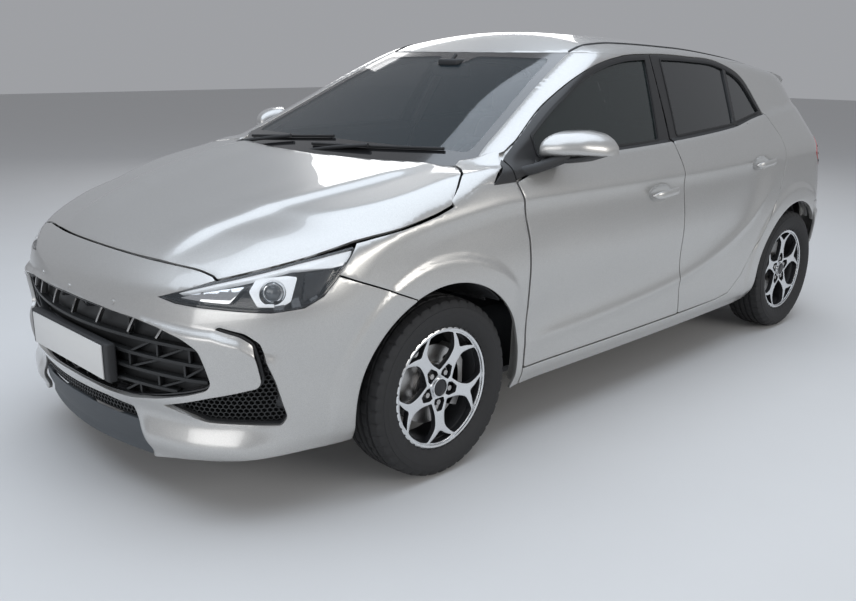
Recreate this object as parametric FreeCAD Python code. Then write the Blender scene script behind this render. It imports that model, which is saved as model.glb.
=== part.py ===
"""Five-door hatchback car, built as an assembly of its real panels and running gear.

Millimetres, +Z up, nose towards -Y, the car's own left side at +X.
The origin is on the ground, at half the overall length, on the centre plane.
"""
import FreeCAD, Part
import functools
import math
import os

V = FreeCAD.Vector
os.makedirs("parts", exist_ok=True)
doc = FreeCAD.newDocument("hatchback")

# Driving dimensions: alias, value, what it is
DIMENSIONS = [
    ("overall_length", 4113, "bumper to bumper"),
    ("overall_width", 1797, "across the doors, without mirrors"),
    ("roof_height", 1495, "ground to the roof's crown"),
    ("wheelbase", 2570, "axle to axle"),
    ("front_overhang", 895, "front end to front axle"),
    ("track", 1524, "between the middles of the left and right tyres"),
    ("tyre_diameter", 621, "outside the tread"),
    ("tyre_width", 195, "sidewall to sidewall"),
    ("rim_diameter", 430, "outside the rim's flange"),
    ("arch_radius", 366, "wheel arch opening"),
    ("shut_gap", 6, "between neighbouring panels"),
    ("skin", 14, "bumper, fender and bonnet wall"),
    ("door_wall", 96, "whole door, outer skin to inner trim"),
    ("pillar_wall", 42, "window frames, pillars and roof"),
    ("glass_wall", 6, "window glass"),
    ("sill_bottom", 200, "underside of the sills"),
    ("floor_top", 262, "cabin floor"),
    ("door_bottom", 288, "lower shut line of the doors"),
    ("firewall_y", -905, "front face of the firewall"),
    ("windscreen_foot", -1010, "windscreen's lower edge on the centre line"),
    ("tailgate_wall", 62, "whole tailgate wall"),
    ("seat_width", 500, "front seat across its bolsters"),
    ("seat_offset", 370, "front seat's middle from the centre plane"),
    ("disc_diameter", 280, "front and rear brake discs"),
    ("hub_radius", 32, "wheel hub and spindle flange"),
    ("door_angle", 68, "widest opening of a side door, degrees"),
]
sheet = doc.addObject("Spreadsheet::Sheet", "Sizes")
for row, (alias, value, note) in enumerate(DIMENSIONS, start=1):
    sheet.set(f"A{row}", alias)
    sheet.set(f"B{row}", str(value))
    sheet.set(f"C{row}", note)
    sheet.setAlias(f"B{row}", alias)
doc.recompute()


def size(alias):
    """The value of one named cell."""
    return float(getattr(sheet, alias))


# Places worked out from the driving dimensions
FRONT_END = -size("overall_length") / 2
REAR_END = size("overall_length") / 2
HALF = size("overall_width") / 2
FRONT_AXLE = FRONT_END + size("front_overhang")
REAR_AXLE = FRONT_AXLE + size("wheelbase")
WHEEL_X = size("track") / 2
WHEEL_Z = size("tyre_diameter") / 2
GAP = size("shut_gap")
SKIN = size("skin")
DOOR = size("door_wall")
PILLAR = size("pillar_wall")
ROOF = size("roof_height")
FAR = 3000.0

# Lower body: one row for each level, with the columns
# height, nose set back, tail set back, side set in, nose radius, front corner radius, rear corner radius
LOWER = [
    (200, 62, 150, 76, 1500, 420, 330),
    (280, 20, 76, 34, 1500, 430, 340),
    (440, 0, 12, 22, 1500, 430, 340),
    (580, 6, 0, 8, 1600, 430, 340),
    (690, 34, 10, 0, 1700, 430, 330),
    (780, 108, 28, 3, 1800, 430, 320),
    (850, 220, 48, 7, 1900, 420, 310),
    (905, 380, 62, 9, 2000, 400, 300),
]
# Shoulder between the crease and the windows, same columns
SHOULDER = [
    (905, 380, 62, 9, 2000, 400, 300),
    (1165, 640, 134, 142, 2000, 360, 260),
]
# Glasshouse: height, windscreen's lead over its foot, tail set back, side set in,
# windscreen radius, front corner radius, rear corner radius
GLASSHOUSE = [
    (960, -120, 96, 58, 2800, 150, 290),
    (1130, 240, 134, 136, 2900, 130, 270),
    (1330, 660, 268, 234, 3000, 120, 200),
    (1530, 1130, 430, 338, 3200, 110, 160),
]
WIDEST_Y = 150.0
SIDE_RADIUS = 30000.0
TAIL_RADIUS = 1900.0
BONNET_CROWN = 6500.0
ROOF_CROWN = 2700.0


def two_circles(c1, r1, c2, r2, rear):
    """Where two circles in the plan cross, at the front or the rear crossing."""
    d = math.hypot(c2[0] - c1[0], c2[1] - c1[1])
    a = (r1 * r1 - r2 * r2 + d * d) / (2 * d)
    h = math.sqrt(r1 * r1 - a * a)
    ux, uy = (c2[0] - c1[0]) / d, (c2[1] - c1[1]) / d
    found = [(c1[0] + a * ux + s * h * uy, c1[1] + a * uy - s * h * ux) for s in (1, -1)]
    return max(found, key=lambda p: p[1]) if rear else min(found, key=lambda p: p[1])


def towards(a, b, distance):
    """The point at a distance from a, on the line through b."""
    d = math.hypot(b[0] - a[0], b[1] - a[1])
    return (a[0] + (b[0] - a[0]) / d * distance, a[1] + (b[1] - a[1]) / d * distance)


def corner(end_y, end_radius, half, radius, rear):
    """Tangent points and middle of the arc that joins a body end to its left side."""
    end_centre = (0.0, end_y - end_radius) if rear else (0.0, end_y + end_radius)
    side_centre = (half - SIDE_RADIUS, WIDEST_Y)
    centre = two_circles(end_centre, end_radius - radius, side_centre, SIDE_RADIUS - radius, rear)
    on_end = towards(end_centre, centre, end_radius)
    on_side = towards(side_centre, centre, SIDE_RADIUS)
    chord = ((on_end[0] + on_side[0]) / 2, (on_end[1] + on_side[1]) / 2)
    return on_end, towards(centre, chord, radius), on_side


def contour(z, nose, tail, half, nose_radius, front_corner, rear_corner):
    """Left half of the body's plan outline at one height: tangent arcs, closed on the centre plane."""
    fe, fm, fs = corner(nose, nose_radius, half, front_corner, False)
    te, tm, ts = corner(tail, TAIL_RADIUS, half, rear_corner, True)

    def arc(a, b, c):
        return Part.Arc(V(*a, z), V(*b, z), V(*c, z)).toShape()

    def bulge(a, b, centre, radius):
        return towards(centre, ((a[0] + b[0]) / 2, (a[1] + b[1]) / 2), radius)

    return Part.Wire([
        arc((0, nose), bulge((0, nose), fe, (0, nose + nose_radius), nose_radius), fe),
        arc(fe, fm, fs),
        arc(fs, bulge(fs, ts, (half - SIDE_RADIUS, WIDEST_Y), SIDE_RADIUS), ts),
        arc(ts, tm, te),
        arc(te, bulge(te, (0, tail), (0, tail - TAIL_RADIUS), TAIL_RADIUS), (0, tail)),
        Part.makeLine(V(0, tail, z), V(0, nose, z)),
    ])


def body_loft(rows, inset, end_inset=None):
    """Solid through the plan outlines of a table, drawn in by an inset."""
    end = inset if end_inset is None else end_inset
    wires = []
    for z, nose, tail, side, r_nose, r_front, r_rear in rows:
        wires.append(contour(z, FRONT_END + nose + end, REAR_END - tail - end, HALF - side - inset,
                             r_nose - end, r_front - end, r_rear - end))
    return Part.makeLoft(wires, True, True)


def glasshouse_loft(inset):
    """Solid of the windscreen, side windows and rear window planes, without its roof."""
    foot = size("windscreen_foot")
    wires = []
    for z, lead, tail, side, r_nose, r_front, r_rear in GLASSHOUSE:
        wires.append(contour(z, foot + lead + inset * 2.2, REAR_END - tail - inset * 1.1, HALF - side - inset,
                             r_nose, r_front - inset, r_rear - inset))
    return Part.makeLoft(wires, True, True)


def crowned(profile, crown_radius, top, drop):
    """Solid above a profile in the centre plane, arched across the car.

    profile is a list of edges in the YZ plane from front to rear."""
    first, last = profile[0].firstVertex(True).Point, profile[-1].lastVertex(True).Point
    up_front, up_rear = V(0, first.y, top), V(0, last.y, top)
    wire = Part.Wire(profile + [Part.makeLine(last, up_rear), Part.makeLine(up_rear, up_front),
                                Part.makeLine(up_front, first)])
    face = Part.Face(wire)
    face.translate(V(0, 0, -drop))
    hinge = V(0, 0, drop_centre(profile) - crown_radius)
    spread = math.degrees(1100 / crown_radius)
    face.rotate(hinge, V(0, 1, 0), -spread)
    return face.revolve(hinge, V(0, 1, 0), 2 * spread)


def drop_centre(profile):
    """Highest point of a profile, which the crown is measured from."""
    return max(edge.BoundBox.ZMax for edge in profile)


def arc_yz(a, b, c):
    return Part.Arc(V(0, *a), V(0, *b), V(0, *c)).toShape()


def prism(points, axis, low, high):
    """Straight-sided cutter. Points are (first, second) of the plane across the axis; a three-part
    entry (a, b, "arc") marks the middle of an arc."""
    place = {"x": lambda p: V(low, p[0], p[1]), "y": lambda p: V(p[0], low, p[1]),
             "z": lambda p: V(p[0], p[1], low)}[axis]
    along = {"x": V(1, 0, 0), "y": V(0, 1, 0), "z": V(0, 0, 1)}[axis] * (high - low)
    edges = []
    count = len(points)
    i = 0
    while i < count:
        here, after = points[i], points[(i + 1) % count]
        if len(after) == 3:
            end = points[(i + 2) % count]
            edges.append(Part.Arc(place(here), place(after), place(end)).toShape())
            i += 2
        else:
            edges.append(Part.makeLine(place(here), place(after)))
            i += 1
    return Part.Face(Part.Wire(edges)).extrude(along)


def block(x0, x1, y0, y1, z0, z1):
    return Part.makeBox(x1 - x0, y1 - y0, z1 - z0, V(x0, y0, z0))


def grown(points, amount, axis="x", low=-FAR, high=FAR):
    """Prism of an outline grown, or with a negative amount drawn in."""
    solid = prism(points, axis, low, low + 1)
    face = [f for f in solid.Faces if abs(f.normalAt(0, 0).dot(
        {"x": V(1, 0, 0), "y": V(0, 1, 0), "z": V(0, 0, 1)}[axis])) > 0.99][0]
    wire = face.OuterWire.makeOffset2D(amount, 2)
    along = {"x": V(1, 0, 0), "y": V(0, 1, 0), "z": V(0, 0, 1)}[axis]
    flat = Part.Face(wire)
    where = flat.CenterOfMass.dot(along)
    flat.translate(along * (low - where))
    return flat.extrude(along * (high - low))


def mirrored(shape):
    return shape.mirror(V(0, 0, 0), V(1, 0, 0))


def whole(shape):
    """A left half and its mirror image as one solid."""
    return shape.fuse(mirrored(shape))


def both(shape):
    """A left piece and its mirror image as one shape of two solids."""
    return Part.makeCompound(solids_of([shape, mirrored(shape)]))


def solids_of(shapes, least=2000.0):
    """All solids of some shapes, without slivers below a least volume in cubic millimetres."""
    return [s for shape in shapes for s in shape.Solids if s.Volume > least]


def tube(a, b, radius):
    """Round bar between two points."""
    return Part.makeCylinder(radius, (b - a).Length, a, b - a)


# Side outlines, as (y, z) from the front wheel's axle and the ground, so that they follow the wheelbase
def at_front(y, z):
    return (FRONT_AXLE + y, z)


def at_rear(y, z):
    return (REAR_AXLE + y, z)


DOOR_Z = size("door_bottom")
FRONT_DOOR = [
    at_front(407, DOOR_Z), at_front(390, 770), at_front(362, 905), at_front(345, 990),
    at_front(390, 1052), at_front(700, 1232, ), at_front(1010, 1350), at_front(1240, 1392),
    at_front(1462, 1402), at_front(1389, 1035), at_front(1402, 905), at_front(1450, 470), at_front(1466, DOOR_Z),
]
REAR_DOOR = [
    at_front(1466, DOOR_Z), at_front(1450, 470), at_front(1402, 905), at_front(1392, 1035), at_front(1462, 1402),
    at_rear(-500, 1372), at_rear(-330, 1305), at_rear(-235, 1130), at_rear(-168, 1010), at_rear(-176, 878),
    at_rear(-236, 730), at_rear(-402, 512), at_rear(-520, 372), at_rear(-640, DOOR_Z + 10), at_rear(-760, DOOR_Z),
]
FRONT_WINDOW = [
    at_front(520, 1048), at_front(520, 1088), at_front(760, 1212), at_front(1060, 1322), at_front(1250, 1350),
    at_front(1405, 1354), at_front(1275, 1062),
]
REAR_WINDOW = [
    at_front(1450, 1072), at_front(1548, 1352), at_rear(-560, 1326), at_rear(-400, 1262), at_rear(-310, 1132),
    at_rear(-600, 1092),
]
# Belt line, from the windscreen's foot to the tail, above which only the glasshouse stands
BELT = [
    at_front(-60, 1600), at_front(200, 1020), at_front(520, 1030), at_front(1275, 1046), at_rear(-600, 1078),
    at_rear(-300, 1118), at_rear(200, 1150), at_rear(900, 1150), at_rear(900, 1600),
]
BONNET_SIDE = [  # bonnet's side shut line, and all that lies above it
    at_front(-1100, 640), at_front(-900, 735), at_front(-720, 785), at_front(-342, 858), at_front(-55, 915),
    at_front(60, 950), at_front(150, 1016), at_front(400, 1100), at_front(400, 1500), at_front(-1100, 1500),
]
BONNET_FRONT = [(-1000, 878), (-806, 870), (-560, 772), (-300, 794), (0, 803), (300, 794), (560, 772), (806, 870),
                (1000, 878), (1000, 1400), (-1000, 1400)]
BONNET_PLAN = [(-1000, FRONT_END - 100), (1000, FRONT_END - 100), (1000, FRONT_AXLE + 300),
               (0, FRONT_AXLE + 118, "arc"), (-1000, FRONT_AXLE + 300)]
BONNET_FRONT_CUT = [(x, z - 5) if z < 1000 else (x, z) for x, z in BONNET_FRONT]
BONNET_SIDE_CUT = [(y, z - 5) for y, z in BONNET_SIDE]
FENDER = [
    at_front(-342, 853), at_front(-55, 910), at_front(60, 945), at_front(150, 1011), at_front(190, 1040),
    at_front(384, 1060), at_front(341, 990), at_front(358, 905), at_front(386, 770),
    at_front(403, DOOR_Z), at_front(403, 120), at_front(0, 120), at_front(-120, 640), at_front(-423, 783),
]
BUMPER_SIDE = [
    at_front(-1200, 100), at_front(-1200, 900), at_front(-342, 900), at_front(-342, 853), at_front(-423, 783),
    at_front(-120, 640), at_front(-120, 100),
]
LAMP_FRONT = [(505, 722), (640, 782), (810, 858), (860, 858), (860, 700), (772, 690), (700, 668), (600, 680)]
LAMP_SIDE = [(FRONT_END - 50, 640), (FRONT_END + 290, 668), at_front(-476, 740), at_front(-424, 782),
             at_front(-347, 851), (FRONT_END + 200, 851), (FRONT_END - 50, 851)]
GRILLE = [(-500, 395), (-555, 442), (-562, 545), (-520, 578), (-300, 614), (0, 624), (300, 614), (520, 578),
          (562, 545), (555, 442), (500, 395), (300, 346), (0, 334), (-300, 346)]
INTAKE = [(450, 352), (590, 392), (668, 470), (712, 600), (760, 632), (800, 560), (805, 362), (700, 338)]
CHIN = [(-540, 100), (-500, 262), (-420, 300), (0, 286), (420, 300), (500, 262), (540, 100)]
CHIN_CUT = [(-540.6, 100), (-500.5, 262.3), (-420.2, 300.6), (0, 286.6), (420.2, 300.6), (500.5, 262.3),
            (540.6, 100)]
REAR_BUMPER = [at_rear(190, 100), at_rear(215, 560), at_rear(232, 652), at_rear(380, 700), at_rear(900, 706),
               at_rear(900, 100)]
DIFFUSER = [(-560, 100), (-520, 330), (-470, 372), (470, 372), (520, 330), (560, 100)]
DIFFUSER_CUT = [(-560.6, 100), (-520.6, 330.3), (-470.3, 372.6), (470.3, 372.6), (520.6, 330.3), (560.6, 100)]
TAIL_LAMP = [at_rear(232, 905), at_rear(292, 985), at_rear(700, 975), at_rear(700, 828), at_rear(352, 824)]
TAILGATE = [(-585, 1500), (-612, 1130), (-580, 1010), (-560, 820), (-500, 712), (500, 712), (560, 820),
            (580, 1010), (612, 1130), (585, 1500)]
REAR_WINDOW_TAIL = [(-490, 1330), (-545, 1130), (-500, 1085), (500, 1085), (545, 1130), (490, 1330)]
WINDSCREEN = [(-712, 985), (-507, 1408), (507, 1408), (712, 985)]
ROOF_PLAN = [(-560, -420), (560, -420), (545, 600), (520, 1700), (-520, 1700), (-545, 600)]
TAILGATE_HINGE_Y = 1512.0

# Profiles in the centre plane
bonnet_rear = size("windscreen_foot") - 8
BONNET_LINE = [arc_yz((FRONT_END - 300, 640), (FRONT_END + 420, 905), (bonnet_rear, 1020)),
               Part.makeLine(V(0, bonnet_rear, 1020), V(0, bonnet_rear + 500, 1072))]
PEAK_Y = 150.0
ROOF_LINE = [arc_yz((PEAK_Y - 460, ROOF - 66), (PEAK_Y - 230, ROOF - 16.2), (PEAK_Y, ROOF)),
             arc_yz((PEAK_Y, ROOF), (PEAK_Y + 900, ROOF - 46), (PEAK_Y + 1790, ROOF - 186))]


@functools.lru_cache(None)
def lower_hull(inset, end_inset=None, drop=None):
    """Body below the windows: nose, sides and tail, under the bonnet and the belt line."""
    down = inset if drop is None else drop
    hull = body_loft(LOWER, inset, end_inset).fuse(body_loft(SHOULDER, inset, end_inset))
    hull = hull.cut(crowned(BONNET_LINE, BONNET_CROWN, 1700, down))
    return hull.cut(prism(BELT, "x", -FAR, FAR))


@functools.lru_cache(None)
def upper_hull(inset):
    return glasshouse_loft(inset).cut(crowned(ROOF_LINE, ROOF_CROWN, 1900, inset))



HINGE_PIN = 4.0
GLASS_INSET = 4.0
PIN_FIT = 0.3


def joined(shapes):
    """Shapes fused into one."""
    first, rest = shapes[0], shapes[1:]
    return first.multiFuse(rest) if rest else first


# Layers of the body, from the outside in
LOW, HIGH = lower_hull(0), upper_hull(0)
LOW_SKIN = lower_hull(SKIN)
LOW_CABIN, HIGH_CABIN = lower_hull(DOOR, 62, 60), upper_hull(PILLAR)
left_outer = LOW.fuse(HIGH)
left_cabin = LOW_CABIN.fuse(HIGH_CABIN)
left_wall = left_outer.cut(left_cabin)
skin_wall = LOW.cut(LOW_SKIN)
left_flange = lower_hull(30).fuse(upper_hull(24))
door_outer_layer = left_outer.cut(left_flange)
door_inner_layer = left_flange.cut(left_cabin)

parts = {}          # node name: shape, in the order in which they are exported

# Wheel wells
front_well = Part.makeCylinder(size("arch_radius"), FAR, V(486, FRONT_AXLE, WHEEL_Z), V(1, 0, 0))
rear_well = Part.makeCylinder(size("arch_radius"), FAR, V(590, REAR_AXLE, WHEEL_Z), V(1, 0, 0))
wells = joined([front_well, rear_well])
left_and_right_wells = joined([wells, mirrored(wells)])

# Side doors: an outer layer that meets its neighbours, and an inner layer set in from its edges
FRONT_HINGE = (size("overall_width") / 2 - 30.5, FRONT_AXLE + 447.5)
REAR_HINGE = (size("overall_width") / 2 - 15.5, FRONT_AXLE + 1463.5)
FRONT_HINGE_Z, REAR_HINGE_Z = (618, 752), (606, 742)
B_POST = [at_front(1392, 1060), at_front(1402, 905), at_front(1450, 470), at_front(1466, 250)]


def band(line, width, low=0, high=FAR):
    """Prism around a side-view line."""
    fore = [(y - width, z) for y, z in line]
    aft = [(y + width, z) for y, z in reversed(line)]
    return prism(fore + aft, "x", low, high)


def door(outline, window, near_b_post):
    outer_part = door_outer_layer.common(grown(outline, -GAP / 2, low=0, high=FAR))
    inner_part = door_inner_layer.common(grown(outline, -GAP / 2 - 20, low=0, high=FAR))
    inner_part = inner_part.cut(near_b_post)
    shape = outer_part.fuse(inner_part).cut(prism(window, "x", 0, FAR))
    return shape.cut(wells)


def hinge(x, y, heights, inner_x, reach_front):
    """Vertical hinges of a left door: pockets to cut from the door, barrels, and the body's arms."""
    pockets, barrels, arms = [], [], []
    for z in heights:
        pockets.append(block(x - 130, x + 8, y - reach_front, y + 11, z - 21, z + 21))
        barrel = Part.makeCylinder(8, 18, V(x, y, z - 9)).fuse(block(x, x + 9.5, y - 8, y + 8, z - 9, z + 9))
        barrels.append(barrel.cut(Part.makeCylinder(HINGE_PIN + PIN_FIT, 40, V(x, y, z - 20))))
        pin = Part.makeCylinder(HINGE_PIN, 31, V(x, y, z - 15.5))
        cheeks = [block(inner_x, x, y - 5, y + 5, z + s, z + s + 6) for s in (9.5, -15.5)]
        tips = [Part.makeCylinder(5, 6, V(x, y, z + s)) for s in (9.5, -15.5)]
        arms.append(joined([pin] + cheeks + tips))
    return joined(pockets), barrels, arms


b_line = B_POST
b_clear = band(b_line, 62)
front_pockets, front_barrels, front_arms = hinge(*FRONT_HINGE, FRONT_HINGE_Z, 740, 120)
rear_pockets, rear_barrels, rear_arms = hinge(*REAR_HINGE, REAR_HINGE_Z, 790, 90)
# The front door's inner layer starts behind its hinges, so that it clears the pillar as the door turns
ahead_of_hinge = block(0, FAR, FRONT_END, FRONT_HINGE[1], 0, 940)
door_front = door(FRONT_DOOR, FRONT_WINDOW, b_clear.fuse(ahead_of_hinge)).cut(front_pockets)
door_front = door_front.cut(block(0, 690, FRONT_END, FRONT_AXLE + 520, 0, 1040))
door_front = joined([door_front] + front_barrels)
door_rear = door(REAR_DOOR, REAR_WINDOW, b_clear).cut(rear_pockets)
door_rear = joined([door_rear] + rear_barrels)
glass_layer = upper_hull(GLASS_INSET).cut(upper_hull(GLASS_INSET + size("glass_wall")))
glass_front = glass_layer.common(grown(FRONT_WINDOW, -0.3, low=0, high=FAR))
glass_rear = glass_layer.common(grown(REAR_WINDOW, -0.3, low=0, high=FAR))
print("doors", door_front.isValid(), len(door_front.Solids), door_rear.isValid(), len(door_rear.Solids))

# Body side: sill, hinge pillar, windscreen pillar, roof rail, B-post, quarter panel, on each side
side = left_wall.cut(prism([(FRONT_END - 100, 0), (FRONT_END - 100, 1300), at_front(257.3, 1300),
                            at_front(257.3, 0)], "x", 0, FAR))
side = side.cut(block(-1, 690, FRONT_END, FRONT_AXLE + 600, 0, 1003))
side = side.cut(grown(FRONT_DOOR, GAP / 2, low=0)).cut(grown(REAR_DOOR, GAP / 2, low=0))
fender_zone = left_outer.cut(lower_hull(SKIN + 0.6)).common(prism(FENDER, "x", 0, FAR))
side = side.cut(fender_zone)
screen_cut = prism(WINDSCREEN, "y", FRONT_END, 0)
roof_zone = prism(ROOF_PLAN, "z", 1200, 1700)
hinge_y = TAILGATE_HINGE_Y
roof_at_hinge = ROOF_LINE[1].valueAt(ROOF_LINE[1].Curve.parameter(V(0, hinge_y, ROOF - 80)))
hinge_z = roof_at_hinge.z - 26
tail_cut = grown(TAILGATE, GAP, "y", hinge_y - 10, REAR_END + 200)
side = side.cut(screen_cut).cut(roof_zone).cut(tail_cut)
side = side.cut(prism(REAR_BUMPER, "x", 0, FAR))
lamp_layer = left_outer.cut(lower_hull(58))
tail_lamp = lamp_layer.common(grown(TAIL_LAMP, 0, low=0)).cut(tail_cut)
side = side.cut(left_outer.cut(lower_hull(58)).common(grown(TAIL_LAMP, 0.6, low=0)))
side = side.cut(wells)
post_core = lower_hull(150, 150, 40)
post_layer = LOW_CABIN.cut(post_core)
post_high = upper_hull(56).cut(upper_hull(96))
post = post_layer.common(band(b_line, 46)).common(block(0, FAR, -FAR, FAR, 262.3, 1040))
post_top = post_high.common(band([at_front(1470, 1500), at_front(1392, 1000)], 44))
post = post.fuse(post_top)
post = post.fuse(upper_hull(PILLAR).cut(upper_hull(96)).common(
    band([at_front(1470, 1500), at_front(1392, 1000)], 44)).common(block(0, FAR, -FAR, FAR, 1405, 1500)))
hinge_post = post_layer.common(
    prism([at_front(275.3, 262.3), at_front(275.3, 930), at_front(455, 930), at_front(480, 262.3)], "x", 0, FAR))
body_side = joined([side, post, hinge_post])
body_side = body_side.cut(wells)
print("side", body_side.isValid(), [round(s.Volume / 1e6, 3) for s in body_side.Solids])
parts["body_sides"] = both(body_side)

fender = skin_wall.common(block(0, FAR, -FAR, FAR, 0, FAR)).common(grown(FENDER, -0.3, low=0)).cut(wells)
fender = fender.cut(prism(BONNET_SIDE, "x", -FAR, FAR)).common(block(690, FAR, -FAR, FAR, 0, FAR))
parts["fenders"] = both(fender)
print("fender", fender.isValid(), [round(s.Volume / 1e6, 3) for s in fender.Solids])

# Bonnet: everything above the shut line, seen from the side and from the front
bonnet_zone = prism(BONNET_SIDE, "x", -FAR, FAR).common(prism(BONNET_FRONT, "y", -FAR, 0)).common(
    prism(BONNET_PLAN, "z", 0, FAR))
bonnet = skin_wall.common(bonnet_zone)
print("bonnet", bonnet.isValid(), [round(s.Volume / 1e6, 3) for s in bonnet.Solids])

# Front bumper with its lamp, grille and intake openings
nose_zone = prism(BUMPER_SIDE, "x", -FAR, FAR)
bumper = skin_wall.common(nose_zone).cut(prism(BONNET_SIDE_CUT, "x", -FAR, FAR).common(
    prism(BONNET_FRONT_CUT, "y", -FAR, 0)))
lamp_zone = prism(LAMP_FRONT, "y", -FAR, 0).common(prism(LAMP_SIDE, "x", 0, FAR))
bumper = bumper.cut(lamp_zone).cut(wells)
grille_zone = prism(GRILLE, "y", -FAR, 0)
intake_zone = prism(INTAKE, "y", -FAR, 0)
openings = joined([grille_zone, intake_zone])
chin_zone = prism(CHIN, "y", -FAR, 0)
chin = bumper.common(chin_zone)
bumper = bumper.cut(openings).cut(prism(CHIN_CUT, "y", -FAR, 0))
print("bumper", bumper.isValid(), [round(s.Volume / 1e6, 3) for s in bumper.Solids])
print("chin", chin.isValid(), [round(s.Volume / 1e6, 3) for s in chin.Solids])
parts["bumper_front"] = whole(bumper)
parts["chin_lip"] = whole(chin)
insert_layer = lower_hull(SKIN + 0.6).cut(lower_hull(SKIN + 12))
lattice = insert_layer.common(grown(GRILLE, 12, "y", -FAR, 0))
mesh = insert_layer.common(grown(INTAKE, 6, "y", -FAR, 0)).cut(
    Part.makeCylinder(size("arch_radius") + 6, FAR, V(486, FRONT_AXLE, WHEEL_Z), V(1, 0, 0))).cut(grown(GRILLE, 13, "y", -FAR, 0))
inserts = Part.makeCompound(solids_of([whole(lattice), mesh, mirrored(mesh)], 50000))
parts["grille_inserts"] = inserts
print("inserts", inserts.isValid(), [round(s.Volume / 1e6, 3) for s in inserts.Solids])
headlamp = LOW.cut(lower_hull(DOOR, 62, 60)).common(
    grown(LAMP_FRONT, -0.6, "y", -FAR, 0)).common(grown(LAMP_SIDE, -0.6, low=0)).cut(wells)
headlamp = headlamp.cut(prism(BONNET_SIDE, "x", -FAR, FAR).common(prism(BONNET_FRONT, "y", -FAR, 0)))
parts["headlamps"] = both(headlamp)
print("lamp", headlamp.isValid(), [round(s.Volume / 1e6, 3) for s in headlamp.Solids])
parts["tail_lamps"] = both(tail_lamp)
print("tail lamp", tail_lamp.isValid(), [round(s.Volume / 1e6, 3) for s in tail_lamp.Solids])

bumper_rear = skin_wall.common(grown(REAR_BUMPER, -0.6)).cut(wells)
diffuser_zone = prism(DIFFUSER, "y", 0, FAR)
parts["diffuser"] = whole(bumper_rear.common(diffuser_zone))
parts["bumper_rear"] = whole(bumper_rear.cut(prism(DIFFUSER_CUT, "y", 0, FAR)))
for name in ("diffuser", "bumper_rear"):
    print(name, parts[name].isValid(), [round(s.Volume / 1e6, 3) for s in parts[name].Solids])

# Roof and windscreen
roof = HIGH.cut(HIGH_CABIN).common(grown(ROOF_PLAN, -0.3, "z", 1200, 1700)).cut(screen_cut)
roof = roof.cut(block(-FAR, FAR, hinge_y - 8, FAR, 0, FAR)).cut(
    Part.makeCylinder(31.5, 2 * FAR, V(-FAR, hinge_y, hinge_z), V(1, 0, 0)))
parts["roof_panel"] = whole(roof)
print("roof", roof.isValid(), [round(s.Volume / 1e6, 3) for s in roof.Solids])
windscreen = glass_layer.common(grown(WINDSCREEN, -0.3, "y", FRONT_END, 0)).common(
    prism([(FRONT_END, 1003), (FRONT_END, 1700), (300, 1700), (300, 1003)], "x", -FAR, FAR))
parts["windscreen"] = whole(windscreen)
print("windscreen", windscreen.isValid(), [round(s.Volume / 1e6, 3) for s in windscreen.Solids])

# Tailgate: rear wall of the car from the roof hinge down to the bumper
tail_region = joined([block(-FAR, FAR, hinge_y, FAR, 600, FAR),
                      Part.makeCylinder(26, 2 * FAR, V(-FAR, hinge_y, hinge_z), V(1, 0, 0))])
tail_block = block(-FAR, FAR, hinge_y - 60, FAR, 600, FAR)
tail_wall = left_wall.common(tail_block)
gate_outer = tail_wall.common(prism(TAILGATE, "y", hinge_y - 60, FAR)).common(tail_region)
print("gate", gate_outer.isValid(), [round(s.Volume / 1e6, 3) for s in gate_outer.Solids])
gate_window = prism(REAR_WINDOW_TAIL, "y", hinge_y + 60, FAR)
gate = gate_outer.cut(gate_window)
parts["tailgate_panel"] = whole(gate)
gate_glass = glass_layer.common(grown(REAR_WINDOW_TAIL, -0.3, "y", hinge_y + 60, FAR))
parts["tailgate_glass"] = whole(gate_glass)
for name in ("tailgate_panel", "tailgate_glass"):
    print(name, parts[name].isValid(), [round(s.Volume / 1e6, 3) for s in parts[name].Solids])

# Floor: a pressed pan with a tunnel, a step up to the rear seat and a boot floor
floor_profile = [at_front(275.3, 232), at_front(275.3, 262), at_rear(-700, 262), at_rear(-600, 372),
                 at_rear(-120, 372), at_rear(-60, 432), at_rear(560, 432), at_rear(560, 402), at_rear(-40, 402),
                 at_rear(-100, 342), at_rear(-570, 342), at_rear(-670, 232)]
floor = prism(floor_profile, "x", -FAR, FAR)
tunnel = [(-150, 262), (-110, 352), (110, 352), (150, 262), (118, 225), (84, 326), (-84, 326), (-118, 225)]
tunnel_top = prism([(-150, 240), (-110, 352), (110, 352), (150, 240)], "y", FRONT_AXLE + 275.3, REAR_AXLE - 690)
tunnel_under = prism([(-120, 200), (-84, 326), (84, 326), (120, 200)], "y", FRONT_AXLE + 200, REAR_AXLE - 672)
spare_well = Part.makeCylinder(270, 150, V(-60, REAR_AXLE + 260, 284)).cut(
    Part.makeCylinder(256, 150, V(-60, REAR_AXLE + 260, 298)))
floor = floor.fuse(tunnel_top).cut(tunnel_under).cut(
    Part.makeCylinder(270, 200, V(-60, REAR_AXLE + 260, 290))).fuse(spare_well)
floor_left = floor.common(lower_hull(DOOR, 62, 60)).cut(wells)
floor = whole(floor_left)
parts["floor_pan"] = floor

# Rear wheel houses and front wheel liners: half tubes over each well
def half_tube(x0, x1, y, inner, outer_r, low):
    tube_shape = Part.makeCylinder(outer_r, x1 - x0, V(x0, y, WHEEL_Z), V(1, 0, 0)).cut(
        Part.makeCylinder(inner, x1 - x0 + 2, V(x0 - 1, y, WHEEL_Z), V(1, 0, 0)))
    return tube_shape.cut(block(0, FAR, -FAR, FAR, 0, low))


arch = size("arch_radius")
strut_low, strut_high = V(725, FRONT_AXLE, 190), V(575, FRONT_AXLE, 830)
strut_line = (strut_high - strut_low).normalize()


def on_strut(z):
    """Point of the left kingpin line at a height."""
    return strut_low + strut_line * ((z - strut_low.z) / strut_line.z)


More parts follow.
